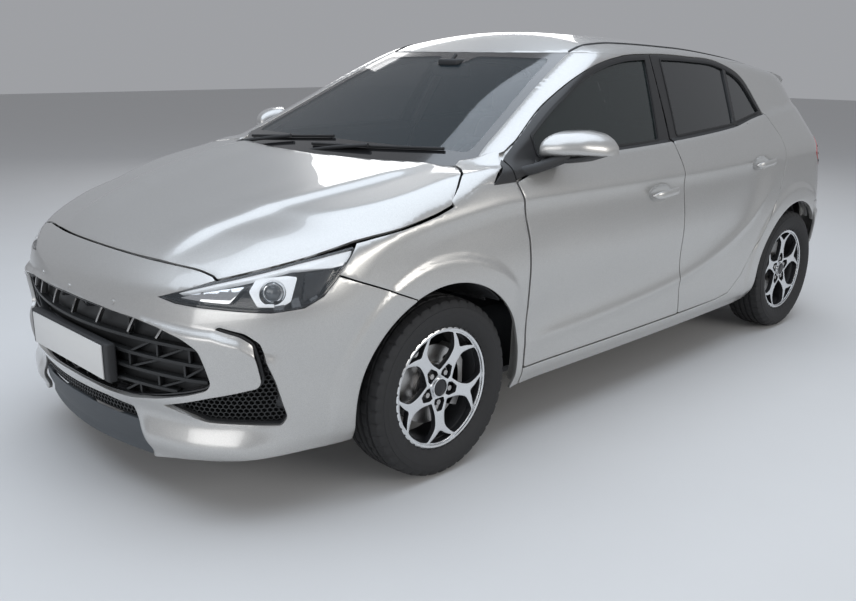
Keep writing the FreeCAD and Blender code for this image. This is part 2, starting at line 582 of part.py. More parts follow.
house = half_tube(590, 900, REAR_AXLE, arch, arch + 8, 262)
house_wall = Part.makeCylinder(arch + 8, 8, V(582, REAR_AXLE, WHEEL_Z), V(1, 0, 0)).cut(
    block(0, FAR, -FAR, FAR, 0, 262)).cut(Part.makeCylinder(76, 40, V(570, REAR_AXLE, WHEEL_Z), V(1, 0, 0)))
rear_house = house.fuse(house_wall).common(lower_hull(DOOR, 62, 60)).cut(
    block(0, FAR, REAR_AXLE - 260, REAR_AXLE - 90, 0, 330))
parts["rear_wheel_houses"] = both(rear_house.cut(floor))
tower_cavity = tube(on_strut(560), on_strut(848), 78)
liner = half_tube(486, 900, FRONT_AXLE, arch, arch + 5, 300)
liner = liner.common(lower_hull(SKIN + 0.6)).common(block(0, FAR, -FAR, FRONT_AXLE + 256.7, 0, FAR))
liner = liner.cut(tube(on_strut(560), on_strut(900), 86))
apron = block(470, 486, FRONT_AXLE - 560, FRONT_AXLE + 257, 372, 790).cut(
    block(0, FAR, FRONT_AXLE - 130, FRONT_AXLE + 130, 0, 400))
tower = tube(on_strut(600), on_strut(862), 92).cut(tower_cavity)
rail = block(400, 486, FRONT_AXLE - 720, FRONT_AXLE + 257, 420, 500)
front_side = apron.cut(tube(on_strut(560), on_strut(862), 92)).fuse(rail)
front_side = front_side.cut(tower_cavity)
tower = tower.cut(front_well).common(block(400, 800, -FAR, FAR, 560, 900))
shelf = prism([(FRONT_AXLE - 360, 770), (FRONT_AXLE + 257, 800), (FRONT_AXLE + 257, 812), (FRONT_AXLE - 360, 782)],
              "x", 470, 900).common(lower_hull(SKIN + 0.6)).cut(tube(on_strut(560), on_strut(900), 78))
crash_beam = block(-520, 520, FRONT_AXLE - 745, FRONT_AXLE - 700, 440, 520)
slam_panel = prism([(FRONT_AXLE - 700, 660), (FRONT_AXLE - 620, 672), (FRONT_AXLE - 620, 700), (FRONT_AXLE - 700, 688)],
                   "x", -486, 486)
slam_posts = [block(s * 478 - 8, s * 478 + 8, FRONT_AXLE - 700, FRONT_AXLE - 560, 420, 676) for s in (-1, 1)]
firewall = block(0, FAR, FRONT_AXLE + 257, FRONT_AXLE + 275, 262, 925).common(
    lower_hull(DOOR, 62, 60)).cut(wells).cut(block(-118, 118, FRONT_AXLE + 200, FRONT_AXLE + 300, 200, 353))
cowl_box = block(-690, 690, FRONT_AXLE + 190, FRONT_AXLE + 257, 882, 896)
bonnet_axis_y, bonnet_axis_z = FRONT_AXLE + 170, 968
cheek = block(578, 589.7, bonnet_axis_y - 8, bonnet_axis_y + 8, 896, bonnet_axis_z).fuse(
    Part.makeCylinder(8, 11.7, V(578, bonnet_axis_y, bonnet_axis_z), V(1, 0, 0))).fuse(
    Part.makeCylinder(HINGE_PIN, 32, V(586, bonnet_axis_y, bonnet_axis_z), V(1, 0, 0)))
bonnet_ear = Part.makeCylinder(9, 20, V(590, bonnet_axis_y, bonnet_axis_z), V(1, 0, 0)).fuse(
    block(590, 610, FRONT_AXLE + 40, bonnet_axis_y + 2, bonnet_axis_z - 8, bonnet_axis_z + 40)).cut(
    Part.makeCylinder(HINGE_PIN + PIN_FIT, 60, V(570, bonnet_axis_y, bonnet_axis_z), V(1, 0, 0)))
bonnet_ear = bonnet_ear.common(joined([lower_hull(SKIN), block(0, FAR, -FAR, FAR, 0, bonnet_axis_z + 9)]))
cowl_box = cowl_box.fuse(block(560, 600, bonnet_axis_y - 10, FRONT_AXLE + 257, 882, 896)).fuse(
    block(-600, -560, bonnet_axis_y - 10, FRONT_AXLE + 257, 882, 896))
front_half = joined([front_side, tower, shelf])
parts["front_structure"] = joined([front_half, mirrored(front_half), crash_beam, slam_panel, whole(firewall), cowl_box,
                                   *slam_posts]).cut(left_and_right_wells)
parts["wheel_liners"] = both(liner.cut(parts["front_structure"]))
parts["bonnet"] = whole(bonnet.fuse(bonnet_ear))
cowl = prism([at_front(128, 966), at_front(134, 1000), at_front(256.7, 1002), at_front(256.7, 896.3),
              at_front(200, 896.3)], "x", -560, 560)
cowl = cowl.fuse(block(-689, 689, FRONT_AXLE + 190, FRONT_AXLE + 256.7, 986, 1001))
# Tailgate hinges near the roof's edge, reached from below so that the nose can turn over them
tail_hinge_x = 300
gate_pocket = block(tail_hinge_x - 16, tail_hinge_x + 16, hinge_y - 60, hinge_y + 10, hinge_z - 80, hinge_z + 5)
gate_barrel = Part.makeCylinder(7, 9, V(tail_hinge_x - 4.5, hinge_y, hinge_z), V(1, 0, 0)).fuse(
    block(tail_hinge_x - 4.5, tail_hinge_x + 4.5, hinge_y, hinge_y + 11, hinge_z - 7, hinge_z + 5)).cut(
    Part.makeCylinder(HINGE_PIN + PIN_FIT, 40, V(tail_hinge_x - 20, hinge_y, hinge_z), V(1, 0, 0)))
gate_arm = [Part.makeCylinder(HINGE_PIN, 28, V(tail_hinge_x - 14, hinge_y, hinge_z), V(1, 0, 0))]
for x in (tail_hinge_x - 14, tail_hinge_x + 5):
    gate_arm.append(Part.makeCylinder(5, 9, V(x, hinge_y, hinge_z), V(1, 0, 0)))
    gate_arm.append(block(x, x + 9, hinge_y - 5, hinge_y + 5, hinge_z - 62, hinge_z))
gate_arm.append(block(tail_hinge_x - 14, tail_hinge_x + 14, hinge_y - 66, hinge_y + 5, hinge_z - 68, hinge_z - 60))
gate_arm.append(block(tail_hinge_x - 14, tail_hinge_x + 14, hinge_y - 66, hinge_y - 48, hinge_z - 68, hinge_z - 14))
gate_arm = joined(gate_arm).cut(parts["roof_panel"])
gate = gate.cut(gate_pocket).fuse(gate_barrel)
parts["tailgate_panel"] = whole(gate)
arms = [arm.cut(body_side) for arm in front_arms + rear_arms] + [cheek, gate_arm]
parts["panel_hinges"] = Part.makeCompound(solids_of(arms + [mirrored(arm) for arm in arms], 300))
for name in ("floor_pan", "rear_wheel_houses", "front_structure", "wheel_liners", "bonnet", "panel_hinges",
             "tailgate_panel"):
    print(name, parts[name].isValid(), [round(s.Volume / 1e6, 3) for s in parts[name].Solids])

# Dashboard, steering wheel and seats
dash = prism([(FRONT_AXLE + 275, 560), (FRONT_AXLE + 275, 930), (FRONT_AXLE + 420, 985), (FRONT_AXLE + 540, 975),
              (FRONT_AXLE + 600, 900), (FRONT_AXLE + 570, 760), (FRONT_AXLE + 470, 600)], "x", -655, 655)
console = block(-110, 110, FRONT_AXLE + 400, FRONT_AXLE + 1180, 352, 560)
console = console.makeFillet(30, [e for e in console.Edges if e.BoundBox.ZMin > 550])
parts["dashboard"] = dash.fuse(console)
wheel_x = size("seat_offset")
wheel_tilt = V(0, math.cos(math.radians(24)), math.sin(math.radians(24)))
wheel_middle = V(wheel_x, FRONT_AXLE + 720, 900)
rim = Part.makeTorus(178, 15, wheel_middle, wheel_tilt)
column = tube(wheel_middle - wheel_tilt * 190, wheel_middle + wheel_tilt * 12, 42)
spokes = [block(-170, 170, -16, 16, -10, 10), block(-16, 16, -170, 0, -10, 10)]
turn = FreeCAD.Rotation(V(0, 0, 1), wheel_tilt)
for spoke in spokes:
    spoke.Placement = FreeCAD.Placement(wheel_middle, turn)
parts["steering_wheel"] = joined([rim, column] + spokes).cut(dash)


def cushion(x0, x1, y0, y1, z0, z1, radius):
    box = block(x0, x1, y0, y1, z0, z1)
    return box.makeFillet(radius, box.Edges)


def leaned(shape, y, z, degrees):
    turned = shape.copy()
    turned.rotate(V(0, y, z), V(1, 0, 0), -degrees)
    return turned


half_seat = size("seat_width") / 2
seat_x = size("seat_offset")
seat_y = FRONT_AXLE + 1010
seat_base = cushion(seat_x - half_seat, seat_x + half_seat, seat_y, seat_y + 510, 400, 540, 55)
seat_back = leaned(cushion(seat_x - half_seat + 10, seat_x + half_seat - 10, seat_y + 470, seat_y + 590, 480, 1120, 50),
                   seat_y + 500, 545, 20)
head = leaned(cushion(seat_x - 125, seat_x + 125, seat_y + 490, seat_y + 590, 1150, 1320, 45), seat_y + 500, 545, 20)
stalks = [leaned(Part.makeCylinder(7, 80, V(seat_x + s * 60, seat_y + 540, 1095)), seat_y + 500, 545, 20)
          for s in (-1, 1)]
front_seat = joined([seat_base, seat_back, head] + stalks)
seat_rails = [block(seat_x + s * 190 - 18, seat_x + s * 190 + 18, seat_y + 40, seat_y + 460, 262, 410)
              for s in (-1, 1)]
front_seat = joined([front_seat] + seat_rails)
parts["front_seats"] = both(front_seat)
bench_y = REAR_AXLE - 560
bench = cushion(-590, 590, bench_y - 20, bench_y + 430, 372.3, 540, 55)
bench_back = leaned(cushion(-560, 560, bench_y + 390, bench_y + 490, 480, 1080, 45), bench_y + 430, 500, 22)
rear_heads = [leaned(cushion(x - 115, x + 115, bench_y + 405, bench_y + 485, 1060, 1220, 38), bench_y + 430, 500, 22)
              for x in (-340, 0, 340)]
bench_shape = joined([bench, bench_back] + rear_heads).cut(
    Part.makeCylinder(arch + 14, 800, V(560, REAR_AXLE, WHEEL_Z), V(1, 0, 0))).cut(
    Part.makeCylinder(arch + 14, 800, V(-1360, REAR_AXLE, WHEEL_Z), V(1, 0, 0)))
parts["rear_bench"] = bench_shape

# Engine, front subframe, rear axle, exhaust and tank
engine = block(-330, 320, FRONT_AXLE - 400, FRONT_AXLE + 90, 330, 800)
engine = engine.makeFillet(40, [e for e in engine.Edges if e.BoundBox.ZMin > 700])
engine_mounts = [block(-400, -329, FRONT_AXLE - 200, FRONT_AXLE - 120, 440, 490),
                 block(319, 400, FRONT_AXLE - 200, FRONT_AXLE - 120, 440, 490)]
parts["engine"] = joined([engine] + engine_mounts)
radiator = block(-330, 330, FRONT_AXLE - 560, FRONT_AXLE - 520, 330, 660)
radiator_feet = block(-478, 478, FRONT_AXLE - 560, FRONT_AXLE - 520, 300, 330)
subframe = [block(-400, 400, FRONT_AXLE + 60, FRONT_AXLE + 180, 185, 235),
            block(-478, 478, FRONT_AXLE - 590, FRONT_AXLE - 520, 300, 330)]
for s in (-1, 1):
    subframe.append(block(min(s * 330, s * 400), max(s * 330, s * 400), FRONT_AXLE - 590, FRONT_AXLE + 240, 232, 300))
    subframe.append(block(min(s * 430, s * 469), max(s * 430, s * 469), FRONT_AXLE - 590, FRONT_AXLE - 520, 300, 420))
arm_profile = [(390, FRONT_AXLE - 60), (390, FRONT_AXLE + 110), (560, FRONT_AXLE + 40), (722, FRONT_AXLE + 16),
               (736, FRONT_AXLE, "arc"), (722, FRONT_AXLE - 16), (560, FRONT_AXLE - 26)]
arm = prism(arm_profile, "z", 160, 184).cut(block(0, 400, -FAR, FAR, 0, 100))
arm_post = block(360, 412, FRONT_AXLE - 40, FRONT_AXLE + 90, 160, 240)
ball_pin = tube(on_strut(178), on_strut(206), 7)
subframe += [arm, arm_post, ball_pin, mirrored(arm), mirrored(arm_post), mirrored(ball_pin)]
parts["front_subframe"] = joined(subframe)
parts["radiator"] = radiator
engine_feet = [block(s * 365 - 34, s * 365 + 34, FRONT_AXLE - 200, FRONT_AXLE - 120, 300.0, 441) for s in (-1, 1)]
parts["engine"] = joined([parts["engine"]] + engine_feet)
beam = block(-560, 560, REAR_AXLE - 330, REAR_AXLE - 250, 262, 322)
beam_parts = [beam]
for s in (-1, 1):
    trail = prism([(REAR_AXLE - 560, 300), (REAR_AXLE - 560, 350), (REAR_AXLE - 330, 335), (REAR_AXLE + 40, 330),
                   (REAR_AXLE + 40, 270), (REAR_AXLE - 330, 262)], "x", 540, 578)
    stub = Part.makeCylinder(34, 156, V(570, REAR_AXLE, WHEEL_Z), V(1, 0, 0)).fuse(
        Part.makeCylinder(size("hub_radius") - 12, 60, V(720, REAR_AXLE, WHEEL_Z), V(1, 0, 0)))
    damper = tube(V(556, REAR_AXLE + 60, 300), V(520, REAR_AXLE + 90, 402), 24)
    piece = joined([trail, stub, damper, block(540, 578, REAR_AXLE + 20, REAR_AXLE + 90, 280, 330)])
    beam_parts.append(piece if s > 0 else mirrored(piece))
parts["rear_axle"] = joined(beam_parts).cut(floor)
exhaust_route = [V(0, FRONT_AXLE + 100, 262), V(0, REAR_AXLE - 900, 262), V(0, REAR_AXLE - 760, 198),
                 V(240, REAR_AXLE - 420, 198), V(420, REAR_AXLE + 210, 286)]
exhaust = [tube(a, b, 24) for a, b in zip(exhaust_route, exhaust_route[1:])]
exhaust += [Part.makeSphere(24, point) for point in exhaust_route[1:-1]]
silencer = block(320, 520, REAR_AXLE + 200, REAR_AXLE + 400, 228, 350)
silencer = silencer.makeFillet(35, silencer.Edges)
exhaust += [silencer, block(410, 430, REAR_AXLE + 290, REAR_AXLE + 320, 345, 401.7),
            block(-6, 6, FRONT_AXLE + 500, FRONT_AXLE + 530, 280, 325.7)]
parts["exhaust"] = joined(exhaust)
tank = block(-520, 60, REAR_AXLE - 565, REAR_AXLE - 345, 226, 341.7)
tank = tank.makeFillet(25, [e for e in tank.Edges if e.BoundBox.ZMax < 234])
parts["fuel_tank"] = tank

# Door mirrors, on brackets from the doors
mirror_box = block(862, 1010, FRONT_AXLE + 450, FRONT_AXLE + 668, 1012, 1142)
mirror_box = mirror_box.makeFillet(32, mirror_box.Edges)
mirror_arm = prism([(FRONT_AXLE + 440, 1020), (FRONT_AXLE + 440, 1058), (FRONT_AXLE + 560, 1066),
                    (FRONT_AXLE + 560, 1024)], "x", 740, 900)
mirror = mirror_box.fuse(mirror_arm).cut(left_outer)
print("mirror", mirror.isValid(), [round(s.Volume / 1e6, 3) for s in mirror.Solids])

# Knuckles with their struts: turn about the kingpin line
disc_r = size("disc_diameter") / 2
strut_foot = V(640, FRONT_AXLE, 390)
strut_way = (strut_high - strut_foot).normalize()


def on_damper(z):
    """Point of the damper's own line, which leans more upright than the kingpin line."""
    return strut_foot + strut_way * ((z - strut_foot.z) / strut_way.z)


upright = joined([
    Part.makeCylinder(46, 34, V(692, FRONT_AXLE, WHEEL_Z), V(1, 0, 0)),
    tube(on_strut(192), on_strut(300), 14).common(block(0, FAR, -FAR, FAR, 190, FAR)),
    tube(V(704, FRONT_AXLE, 320), V(640, FRONT_AXLE, 400), 24),
    tube(on_damper(372), on_damper(655), 25),
    tube(on_damper(648), on_damper(656), 62),
    tube(on_damper(655), on_damper(838), 46),
    Part.makeCylinder(size("hub_radius") - 12, 50, V(724, FRONT_AXLE, WHEEL_Z), V(1, 0, 0)),
]).cut(tube(on_strut(160), on_strut(206.6), 7.3))
caliper = prism([(FRONT_AXLE + 60, 225), (FRONT_AXLE + 60, 395), (FRONT_AXLE + 130, 420), (FRONT_AXLE + 158, 360),
                 (FRONT_AXLE + 158, 260), (FRONT_AXLE + 130, 200)], "x", 706, 778).common(
    Part.makeCylinder(172, 100, V(700, FRONT_AXLE, WHEEL_Z), V(1, 0, 0)))
caliper = caliper.cut(Part.makeCylinder(disc_r + 6, 32, V(732, FRONT_AXLE, WHEEL_Z), V(1, 0, 0))).cut(
    Part.makeCylinder(82, 200, V(700, FRONT_AXLE, WHEEL_Z), V(1, 0, 0)))
knuckle = joined([upright, caliper, block(700, 722, FRONT_AXLE + 20, FRONT_AXLE + 95, 290, 330)])
parts["knuckle_left"] = knuckle
parts["knuckle_right"] = mirrored(knuckle)
print("knuckle", knuckle.isValid(), [round(s.Volume / 1e6, 3) for s in knuckle.Solids])

# Wheels: alloy rim with five split spokes and its brake disc, and the tyre
rim_r = size("rim_diameter") / 2
tread_r = size("tyre_diameter") / 2
half_tyre = size("tyre_width") / 2


def ring(profile):
    """Solid of revolution about the wheel's own axis, from (x, radius) points and arcs."""
    face = prism(profile, "z", 0, 1).Faces
    flat = [f for f in face if abs(f.CenterOfMass.z) < 1e-6][0]
    return flat.revolve(V(0, 0, 0), V(1, 0, 0), 360)


flange = half_tyre - 6
bead = rim_r - 16
tyre = ring([(-flange + 0.3, bead + PIN_FIT), (-flange + 0.3, rim_r + 1), (-half_tyre, rim_r + 45, "arc"),
             (-half_tyre + 14, tread_r - 12), (-half_tyre + 30, tread_r - 2), (0, tread_r, "arc"),
             (half_tyre - 30, tread_r - 2), (half_tyre - 14, tread_r - 12), (half_tyre, rim_r + 45, "arc"),
             (flange - 0.3, rim_r + 1), (flange - 0.3, bead + PIN_FIT)])
barrel = ring([(-flange, rim_r), (-flange, bead), (flange, bead), (flange, rim_r), (flange + 6, rim_r),
               (flange + 4, rim_r - 20), (flange - 20, rim_r - 34), (-flange + 20, rim_r - 34),
               (-flange - 4, rim_r - 22), (-flange - 6, rim_r)])
print("tyre", tyre.isValid(), tyre.Volume / 1e6, "barrel", barrel.isValid(), barrel.Volume / 1e6)
dish = ring([(36, 0), (36, 60), (46, 90), (62, rim_r - 30), (76, rim_r - 30), (62, 90), (56, 60), (54, 34), (58, 30),
             (58, 0)])
gaps = []
for k in range(5):
    middle = math.radians(72 * k + 36 + 90)
    turn = math.degrees(middle)
    large = Part.Face(Part.Wire([
        Part.makeLine(V(0, 62, 0), V(0, 62, 0) + V(0, 0, 0) + V(0, 118, -66)),
        Part.Arc(V(0, 180, -66), V(0, 186, 0), V(0, 180, 66)).toShape(),
        Part.makeLine(V(0, 180, 66), V(0, 62, 0))])).extrude(V(140, 0, 0))
    large.rotate(V(0, 0, 0), V(1, 0, 0), turn)
    small = Part.Face(Part.Wire([
        Part.makeLine(V(0, 128, 0), V(0, 181, -20)),
        Part.Arc(V(0, 181, -20), V(0, 183, 0), V(0, 181, 20)).toShape(),
        Part.makeLine(V(0, 181, 20), V(0, 128, 0))])).extrude(V(140, 0, 0))
    small.rotate(V(0, 0, 0), V(1, 0, 0), turn + 36)
    gaps += [large, small]
    lug = Part.makeCylinder(9, 60, V(46, 0, 50), V(1, 0, 0))
    lug.rotate(V(0, 0, 0), V(1, 0, 0), turn + 36)
    gaps.append(lug)
face = dish.cut(joined(gaps))
hat = ring([(-34, 20.3), (-34, 60), (-20, 66), (-20, disc_r), (-2, disc_r), (-2, 72), (36, 66), (36, 20.3)])
rim_body = joined([barrel, face, hat]).cut(Part.makeCylinder(20.3, 60, V(-34, 0, 0), V(1, 0, 0)))
print("rim", rim_body.isValid(), [round(s.Volume / 1e6, 3) for s in rim_body.Solids])


def at_wheel(shape, y, mirror_it):
    placed = shape.copy()
    placed.translate(V(WHEEL_X, y, WHEEL_Z))
    return mirrored(placed) if mirror_it else placed


for end, y in (("front", FRONT_AXLE), ("rear", REAR_AXLE)):
    for hand, flip in (("left", False), ("right", True)):
        turned = rim_body.copy()
        if end == "rear":
            turned.rotate(V(0, 0, 0), V(1, 0, 0), 180)
        parts[f"tyre_{end}_{hand}"] = at_wheel(tyre, y, flip)
        parts[f"rim_{end}_{hand}"] = at_wheel(turned, y, flip)

parts["cowl"] = cowl
for hand, flip in (("left", False), ("right", True)):
    for name, shape in (("door_front", door_front.fuse(mirror)), ("door_rear", door_rear), ("glass_front", glass_front),
                        ("glass_rear", glass_rear)):
        parts[f"{name}_{hand}"] = mirrored(shape) if flip else shape
for name, shape in parts.items():
    item = doc.addObject("Part::Feature", name)
    item.Label = name
    item.Shape = shape
doc.recompute()
for item in doc.Objects:
    if item.isDerivedFrom("Part::Feature") and item.Label in parts:
        if not item.Shape.isValid() or not item.Shape.Solids:
            raise RuntimeError("bad shape: " + item.Label)
        solids = solids_of([item.Shape])
        out = solids[0] if len(solids) == 1 else Part.makeCompound(solids)
        out.exportStep(f"parts/{item.Label}.step")
        print(item.Label, len(solids), [round(s.Volume / 1e6, 2) for s in solids][:6])
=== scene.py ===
"""Looks of the five-door hatchback: painted panels, glass, lamps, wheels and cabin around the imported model."""
import math

import bmesh
import bpy
import numpy as np
from mathutils import Matrix, Vector
from mathutils.geometry import delaunay_2d_cdt


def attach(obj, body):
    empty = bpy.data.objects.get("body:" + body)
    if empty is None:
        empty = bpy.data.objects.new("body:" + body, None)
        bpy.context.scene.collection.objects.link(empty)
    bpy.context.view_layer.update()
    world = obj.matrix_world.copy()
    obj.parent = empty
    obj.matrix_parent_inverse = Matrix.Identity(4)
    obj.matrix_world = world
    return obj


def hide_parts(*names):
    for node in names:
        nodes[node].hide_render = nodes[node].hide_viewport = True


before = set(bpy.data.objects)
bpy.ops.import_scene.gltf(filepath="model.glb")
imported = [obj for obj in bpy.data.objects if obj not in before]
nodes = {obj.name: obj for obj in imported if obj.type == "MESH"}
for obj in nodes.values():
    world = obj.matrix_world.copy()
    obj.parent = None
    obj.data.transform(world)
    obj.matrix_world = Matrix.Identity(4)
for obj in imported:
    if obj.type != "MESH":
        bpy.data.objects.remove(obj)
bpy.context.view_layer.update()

# Driving sizes, in metres: +Z up, nose towards -Y, the car's own left at +X
FRONT_END, REAR_END = -2.0565, 2.0565
HALF = 0.8985
FRONT_AXLE, REAR_AXLE = -1.1615, 1.4085
WHEEL_X, WHEEL_Z = 0.762, 0.3105
ARCH = 0.366
GAP = 0.006
HANDS = (("left", 1), ("right", -1))
FORWARD, REARWARD, UPWARD = (0, -1, 0), (0, 1, 0), (0, 0, 1)
# Radii of the long bows in plan and across the roof, and the share of a corner's table value that is its radius
SIDE_BOW, SCREEN_BOW, TAIL_BOW, ROOF_BOW = 30.0, 2.9, 1.9, 2.7
CORNER_SHARE = 0.58
ROOF_EDGE = 0.030
FILLET = 70  # Sharpness of the soft join at the windscreen's foot


# Body surface
# Lower body: height, nose set back, tail set back, side set in, nose radius, front corner, rear corner
LOWER = [
    (0.200, 0.062, 0.150, 0.076, 1.5, 0.42, 0.33), (0.280, 0.020, 0.076, 0.034, 1.5, 0.43, 0.34),
    (0.440, 0.000, 0.012, 0.022, 1.5, 0.43, 0.34), (0.580, 0.006, 0.000, 0.008, 1.6, 0.43, 0.34),
    (0.690, 0.034, 0.010, 0.000, 1.7, 0.43, 0.33), (0.780, 0.108, 0.028, 0.003, 1.8, 0.43, 0.32),
    (0.850, 0.220, 0.048, 0.007, 1.9, 0.42, 0.31), (0.905, 0.380, 0.062, 0.009, 2.0, 0.40, 0.32),
    (1.165, 0.640, 0.134, 0.012, 2.0, 0.36, 0.46),
]
# Glasshouse: height, windscreen's lead over its foot, tail set back, side set in
GLASSHOUSE = [
    (0.960, -0.120, 0.096, 0.058), (1.130, 0.240, 0.134, 0.136), (1.330, 0.660, 0.268, 0.234),
    (1.530, 1.130, 0.430, 0.338),
]
WINDSCREEN_FOOT = -1.010
SHOULDER_Z = 0.905
SHOULDER_LEAN = 0.133 / 0.260
WIDEST_Y = 0.15
BELT = [(-0.9615, 1.020), (-0.6415, 1.030), (0.1135, 1.046), (0.8085, 1.078), (1.1085, 1.118), (1.6085, 1.150),
        (2.30, 1.150)]
CREASE = [(-1.60, 0.835), (-1.20, 0.884), (-0.80, 0.922), (0.26, 0.922), (1.03, 0.930), (1.50, 0.948),
          (2.05, 0.955)]
SWEEP = [(-1.0, 0.372), (-0.45, 0.392), (0.0, 0.420), (0.30, 0.450), (0.60, 0.515), (0.85, 0.612),
         (1.05, 0.745), (1.30, 0.900)]
BONNET = [(-2.30, 0.667), (-2.0565, 0.745), (-1.92, 0.806), (-1.636, 0.905), (-1.33, 0.970), (-1.018, 1.024),
          (-0.90, 1.040)]
ROOF_TOP = [(-0.60, 1.325), (-0.31, 1.429), (-0.08, 1.4788), (0.15, 1.495), (0.60, 1.4835), (1.05, 1.449),
            (1.50, 1.3905), (1.94, 1.309), (2.10, 1.272)]


def smooth_table(points, at):
    """Monotone cubic through (place, value) pairs, level outside them."""
    x, y = np.array(points, float).T
    h = np.diff(x)
    slope = np.diff(y) / h
    m = np.concatenate([[slope[0]], np.zeros(len(x) - 2), [slope[-1]]])
    same = slope[:-1] * slope[1:] > 0
    m[1:-1][same] = (2 * slope[:-1] * slope[1:] / (slope[:-1] + slope[1:] + 1e-12))[same]
    at = np.clip(np.asarray(at, float), x[0], x[-1])
    i = np.clip(np.searchsorted(x, at) - 1, 0, len(h) - 1)
    t = (at - x[i]) / h[i]
    return ((1 + 2 * t) * (1 - t) ** 2 * y[i] + t * (1 - t) ** 2 * h[i] * m[i]
            + t * t * (3 - 2 * t) * y[i + 1] + t * t * (t - 1) * h[i] * m[i + 1])


GRID = np.arange(0.0, 1.7, 0.002)
ALONG = np.arange(-2.4, 2.4, 0.004)
lower_columns = [smooth_table([(r[0], r[c]) for r in LOWER], GRID) for c in range(1, 7)]
glass_columns = [smooth_table([(r[0], r[c]) for r in GLASSHOUSE], GRID) for c in range(1, 4)]
belt_table, crease_table = smooth_table(BELT, ALONG), smooth_table(CREASE, ALONG)
sweep_table = smooth_table(SWEEP, ALONG)
bonnet_table, roof_table = smooth_table(BONNET, ALONG), smooth_table(ROOF_TOP, ALONG)


def low(column, z):
    return np.interp(z, GRID, lower_columns[column])


def glass(column, z):
    return np.interp(z, GRID, glass_columns[column])


def belt_z(y):
    return np.interp(y, ALONG, belt_table)


def step(a, b, value):
    """Smooth step from 0 at a to 1 at b."""
    t = np.clip((np.asarray(value, float) - a) / (b - a), 0, 1)
    return t * t * (3 - 2 * t)


def rounded(a, b, radius):
    """Two fields, negative inside, met with a round edge."""
    return np.minimum(np.maximum(a, b), -radius) + np.hypot(np.maximum(a + radius, 0),
                                                            np.maximum(b + radius, 0))


def side_bow(y):
    """How far the sides fall in towards both ends."""
    return (y - WIDEST_Y) ** 2 / (2 * SIDE_BOW)


def tail_plane(x, y, set_back):
    """Below zero ahead of the bowed tail."""
    return (y - REAR_END + set_back + x * x / (2 * TAIL_BOW)) / np.sqrt(1 + (x / TAIL_BOW) ** 2)


def roof_height(x, y):
    return np.interp(y, ALONG, roof_table) - x * x / (2 * ROOF_BOW)


def lower_field(x, y, z):
    """Below zero inside the body under the windows."""
    x = np.abs(x)
    crease = np.interp(y, ALONG, crease_table)
    level = z - (crease - SHOULDER_Z) * np.exp(-((z - crease) / 0.16) ** 2)
    flank = HALF - low(2, np.minimum(level, SHOULDER_Z))
    shoulder = HALF - 0.009 - (level - SHOULDER_Z) * SHOULDER_LEAN
    wall = x + side_bow(y) + np.logaddexp(-flank * 150, -shoulder * 150) / 150
    nose = (FRONT_END + low(0, z) + x * x / (2 * low(3, z)) - y) / np.sqrt(1 + (x / low(3, z)) ** 2)
    tail = tail_plane(x, y, low(1, z))
    plan = rounded(rounded(wall, nose, low(4, z) * CORNER_SHARE), tail, low(5, z) * CORNER_SHARE)
    ledge = np.where(y < -0.97, 2.0, belt_z(y))
    crown = np.interp(y, (-1.70, -1.00), (13.0, 36.0))
    bonnet = np.where(y < -0.6, np.interp(y, ALONG, bonnet_table) - x * x / crown, 2.0)
    edge = 0.016 + 0.055 * step(-0.90, -1.10, y)
    return rounded(plan, z - np.minimum(ledge, bonnet), edge)


def upper_field(x, y, z):
    """Below zero inside the glasshouse and roof."""
    x = np.abs(x)
    wall = x - HALF + glass(2, z) + side_bow(y)
    front = (WINDSCREEN_FOOT + glass(0, z) + x * x / (2 * SCREEN_BOW) - y) / np.sqrt(1 + (x / SCREEN_BOW) ** 2)
    plan = rounded(rounded(wall, front, 0.075), tail_plane(x, y, glass(1, z)), 0.24)
    return rounded(plan, z - roof_height(x, y), ROOF_EDGE)


def body_field(x, y, z):
    a, b = lower_field(x, y, z), upper_field(x, y, z)
    fillet = np.log1p(np.exp(-np.abs(a - b) * FILLET)) / FILLET
    return np.minimum(a, b) - fillet * step(-0.62, -0.80, y)


def reach(origin, direction, field=body_field, far=1.6, inset=0.0):
    """Where rays from inside leave the body for the last time."""
    marks = np.linspace(far, 0, 81)
    outer, inner = np.full(len(origin), far), np.zeros(len(origin))
    found = np.zeros(len(origin), bool)
    for k in range(1, len(marks)):
        p = origin + direction * marks[k]
        hit = (field(*p.T) + inset < 0) & ~found
        outer[hit], inner[hit] = marks[k - 1], marks[k]
        found |= hit
    for _ in range(20):
        middle = (outer + inner) / 2
        within = field(*(origin + direction * middle[:, None]).T) + inset < 0
        inner = np.where(within, middle, inner)
        outer = np.where(within, outer, middle)
    return origin + direction * inner[:, None]


# Around the car: u runs from the nose's middle along the left side to the tail's middle
NOSE_R, TAIL_R = 0.95, 0.75
NOSE_Y, TAIL_Y = -1.0, 1.3
U_SIDE = NOSE_R * math.pi / 2
U_TAIL = U_SIDE + TAIL_Y - NOSE_Y
U_END = U_TAIL + TAIL_R * math.pi / 2


def rays(u):
    """Start and direction of the level ray at each place u around the car; the right side is negative."""
    sign, a = np.where(u < 0, -1.0, 1.0), np.abs(u)
    nose, tail = np.clip(a / NOSE_R, 0, math.pi / 2), np.clip((a - U_TAIL) / TAIL_R, 0, math.pi / 2)
    start = np.stack([np.zeros_like(a), np.clip(a - U_SIDE + NOSE_Y, NOSE_Y, TAIL_Y)], 1)
    way = np.stack([np.sin(nose) * np.cos(tail) * sign, -np.cos(nose) + np.sin(tail)], 1)
    return start, way


# Handles' places, as (y, z), and the upper border of the blades beside the grille, as x and z
HANDLES = ((0.067, 0.853), (0.982, 0.904))
BLADE_TOP = ((0.0, 0.301, 0.473, 0.647, 0.707, 0.750), (0.655, 0.648, 0.640, 0.632, 0.609, 0.560))


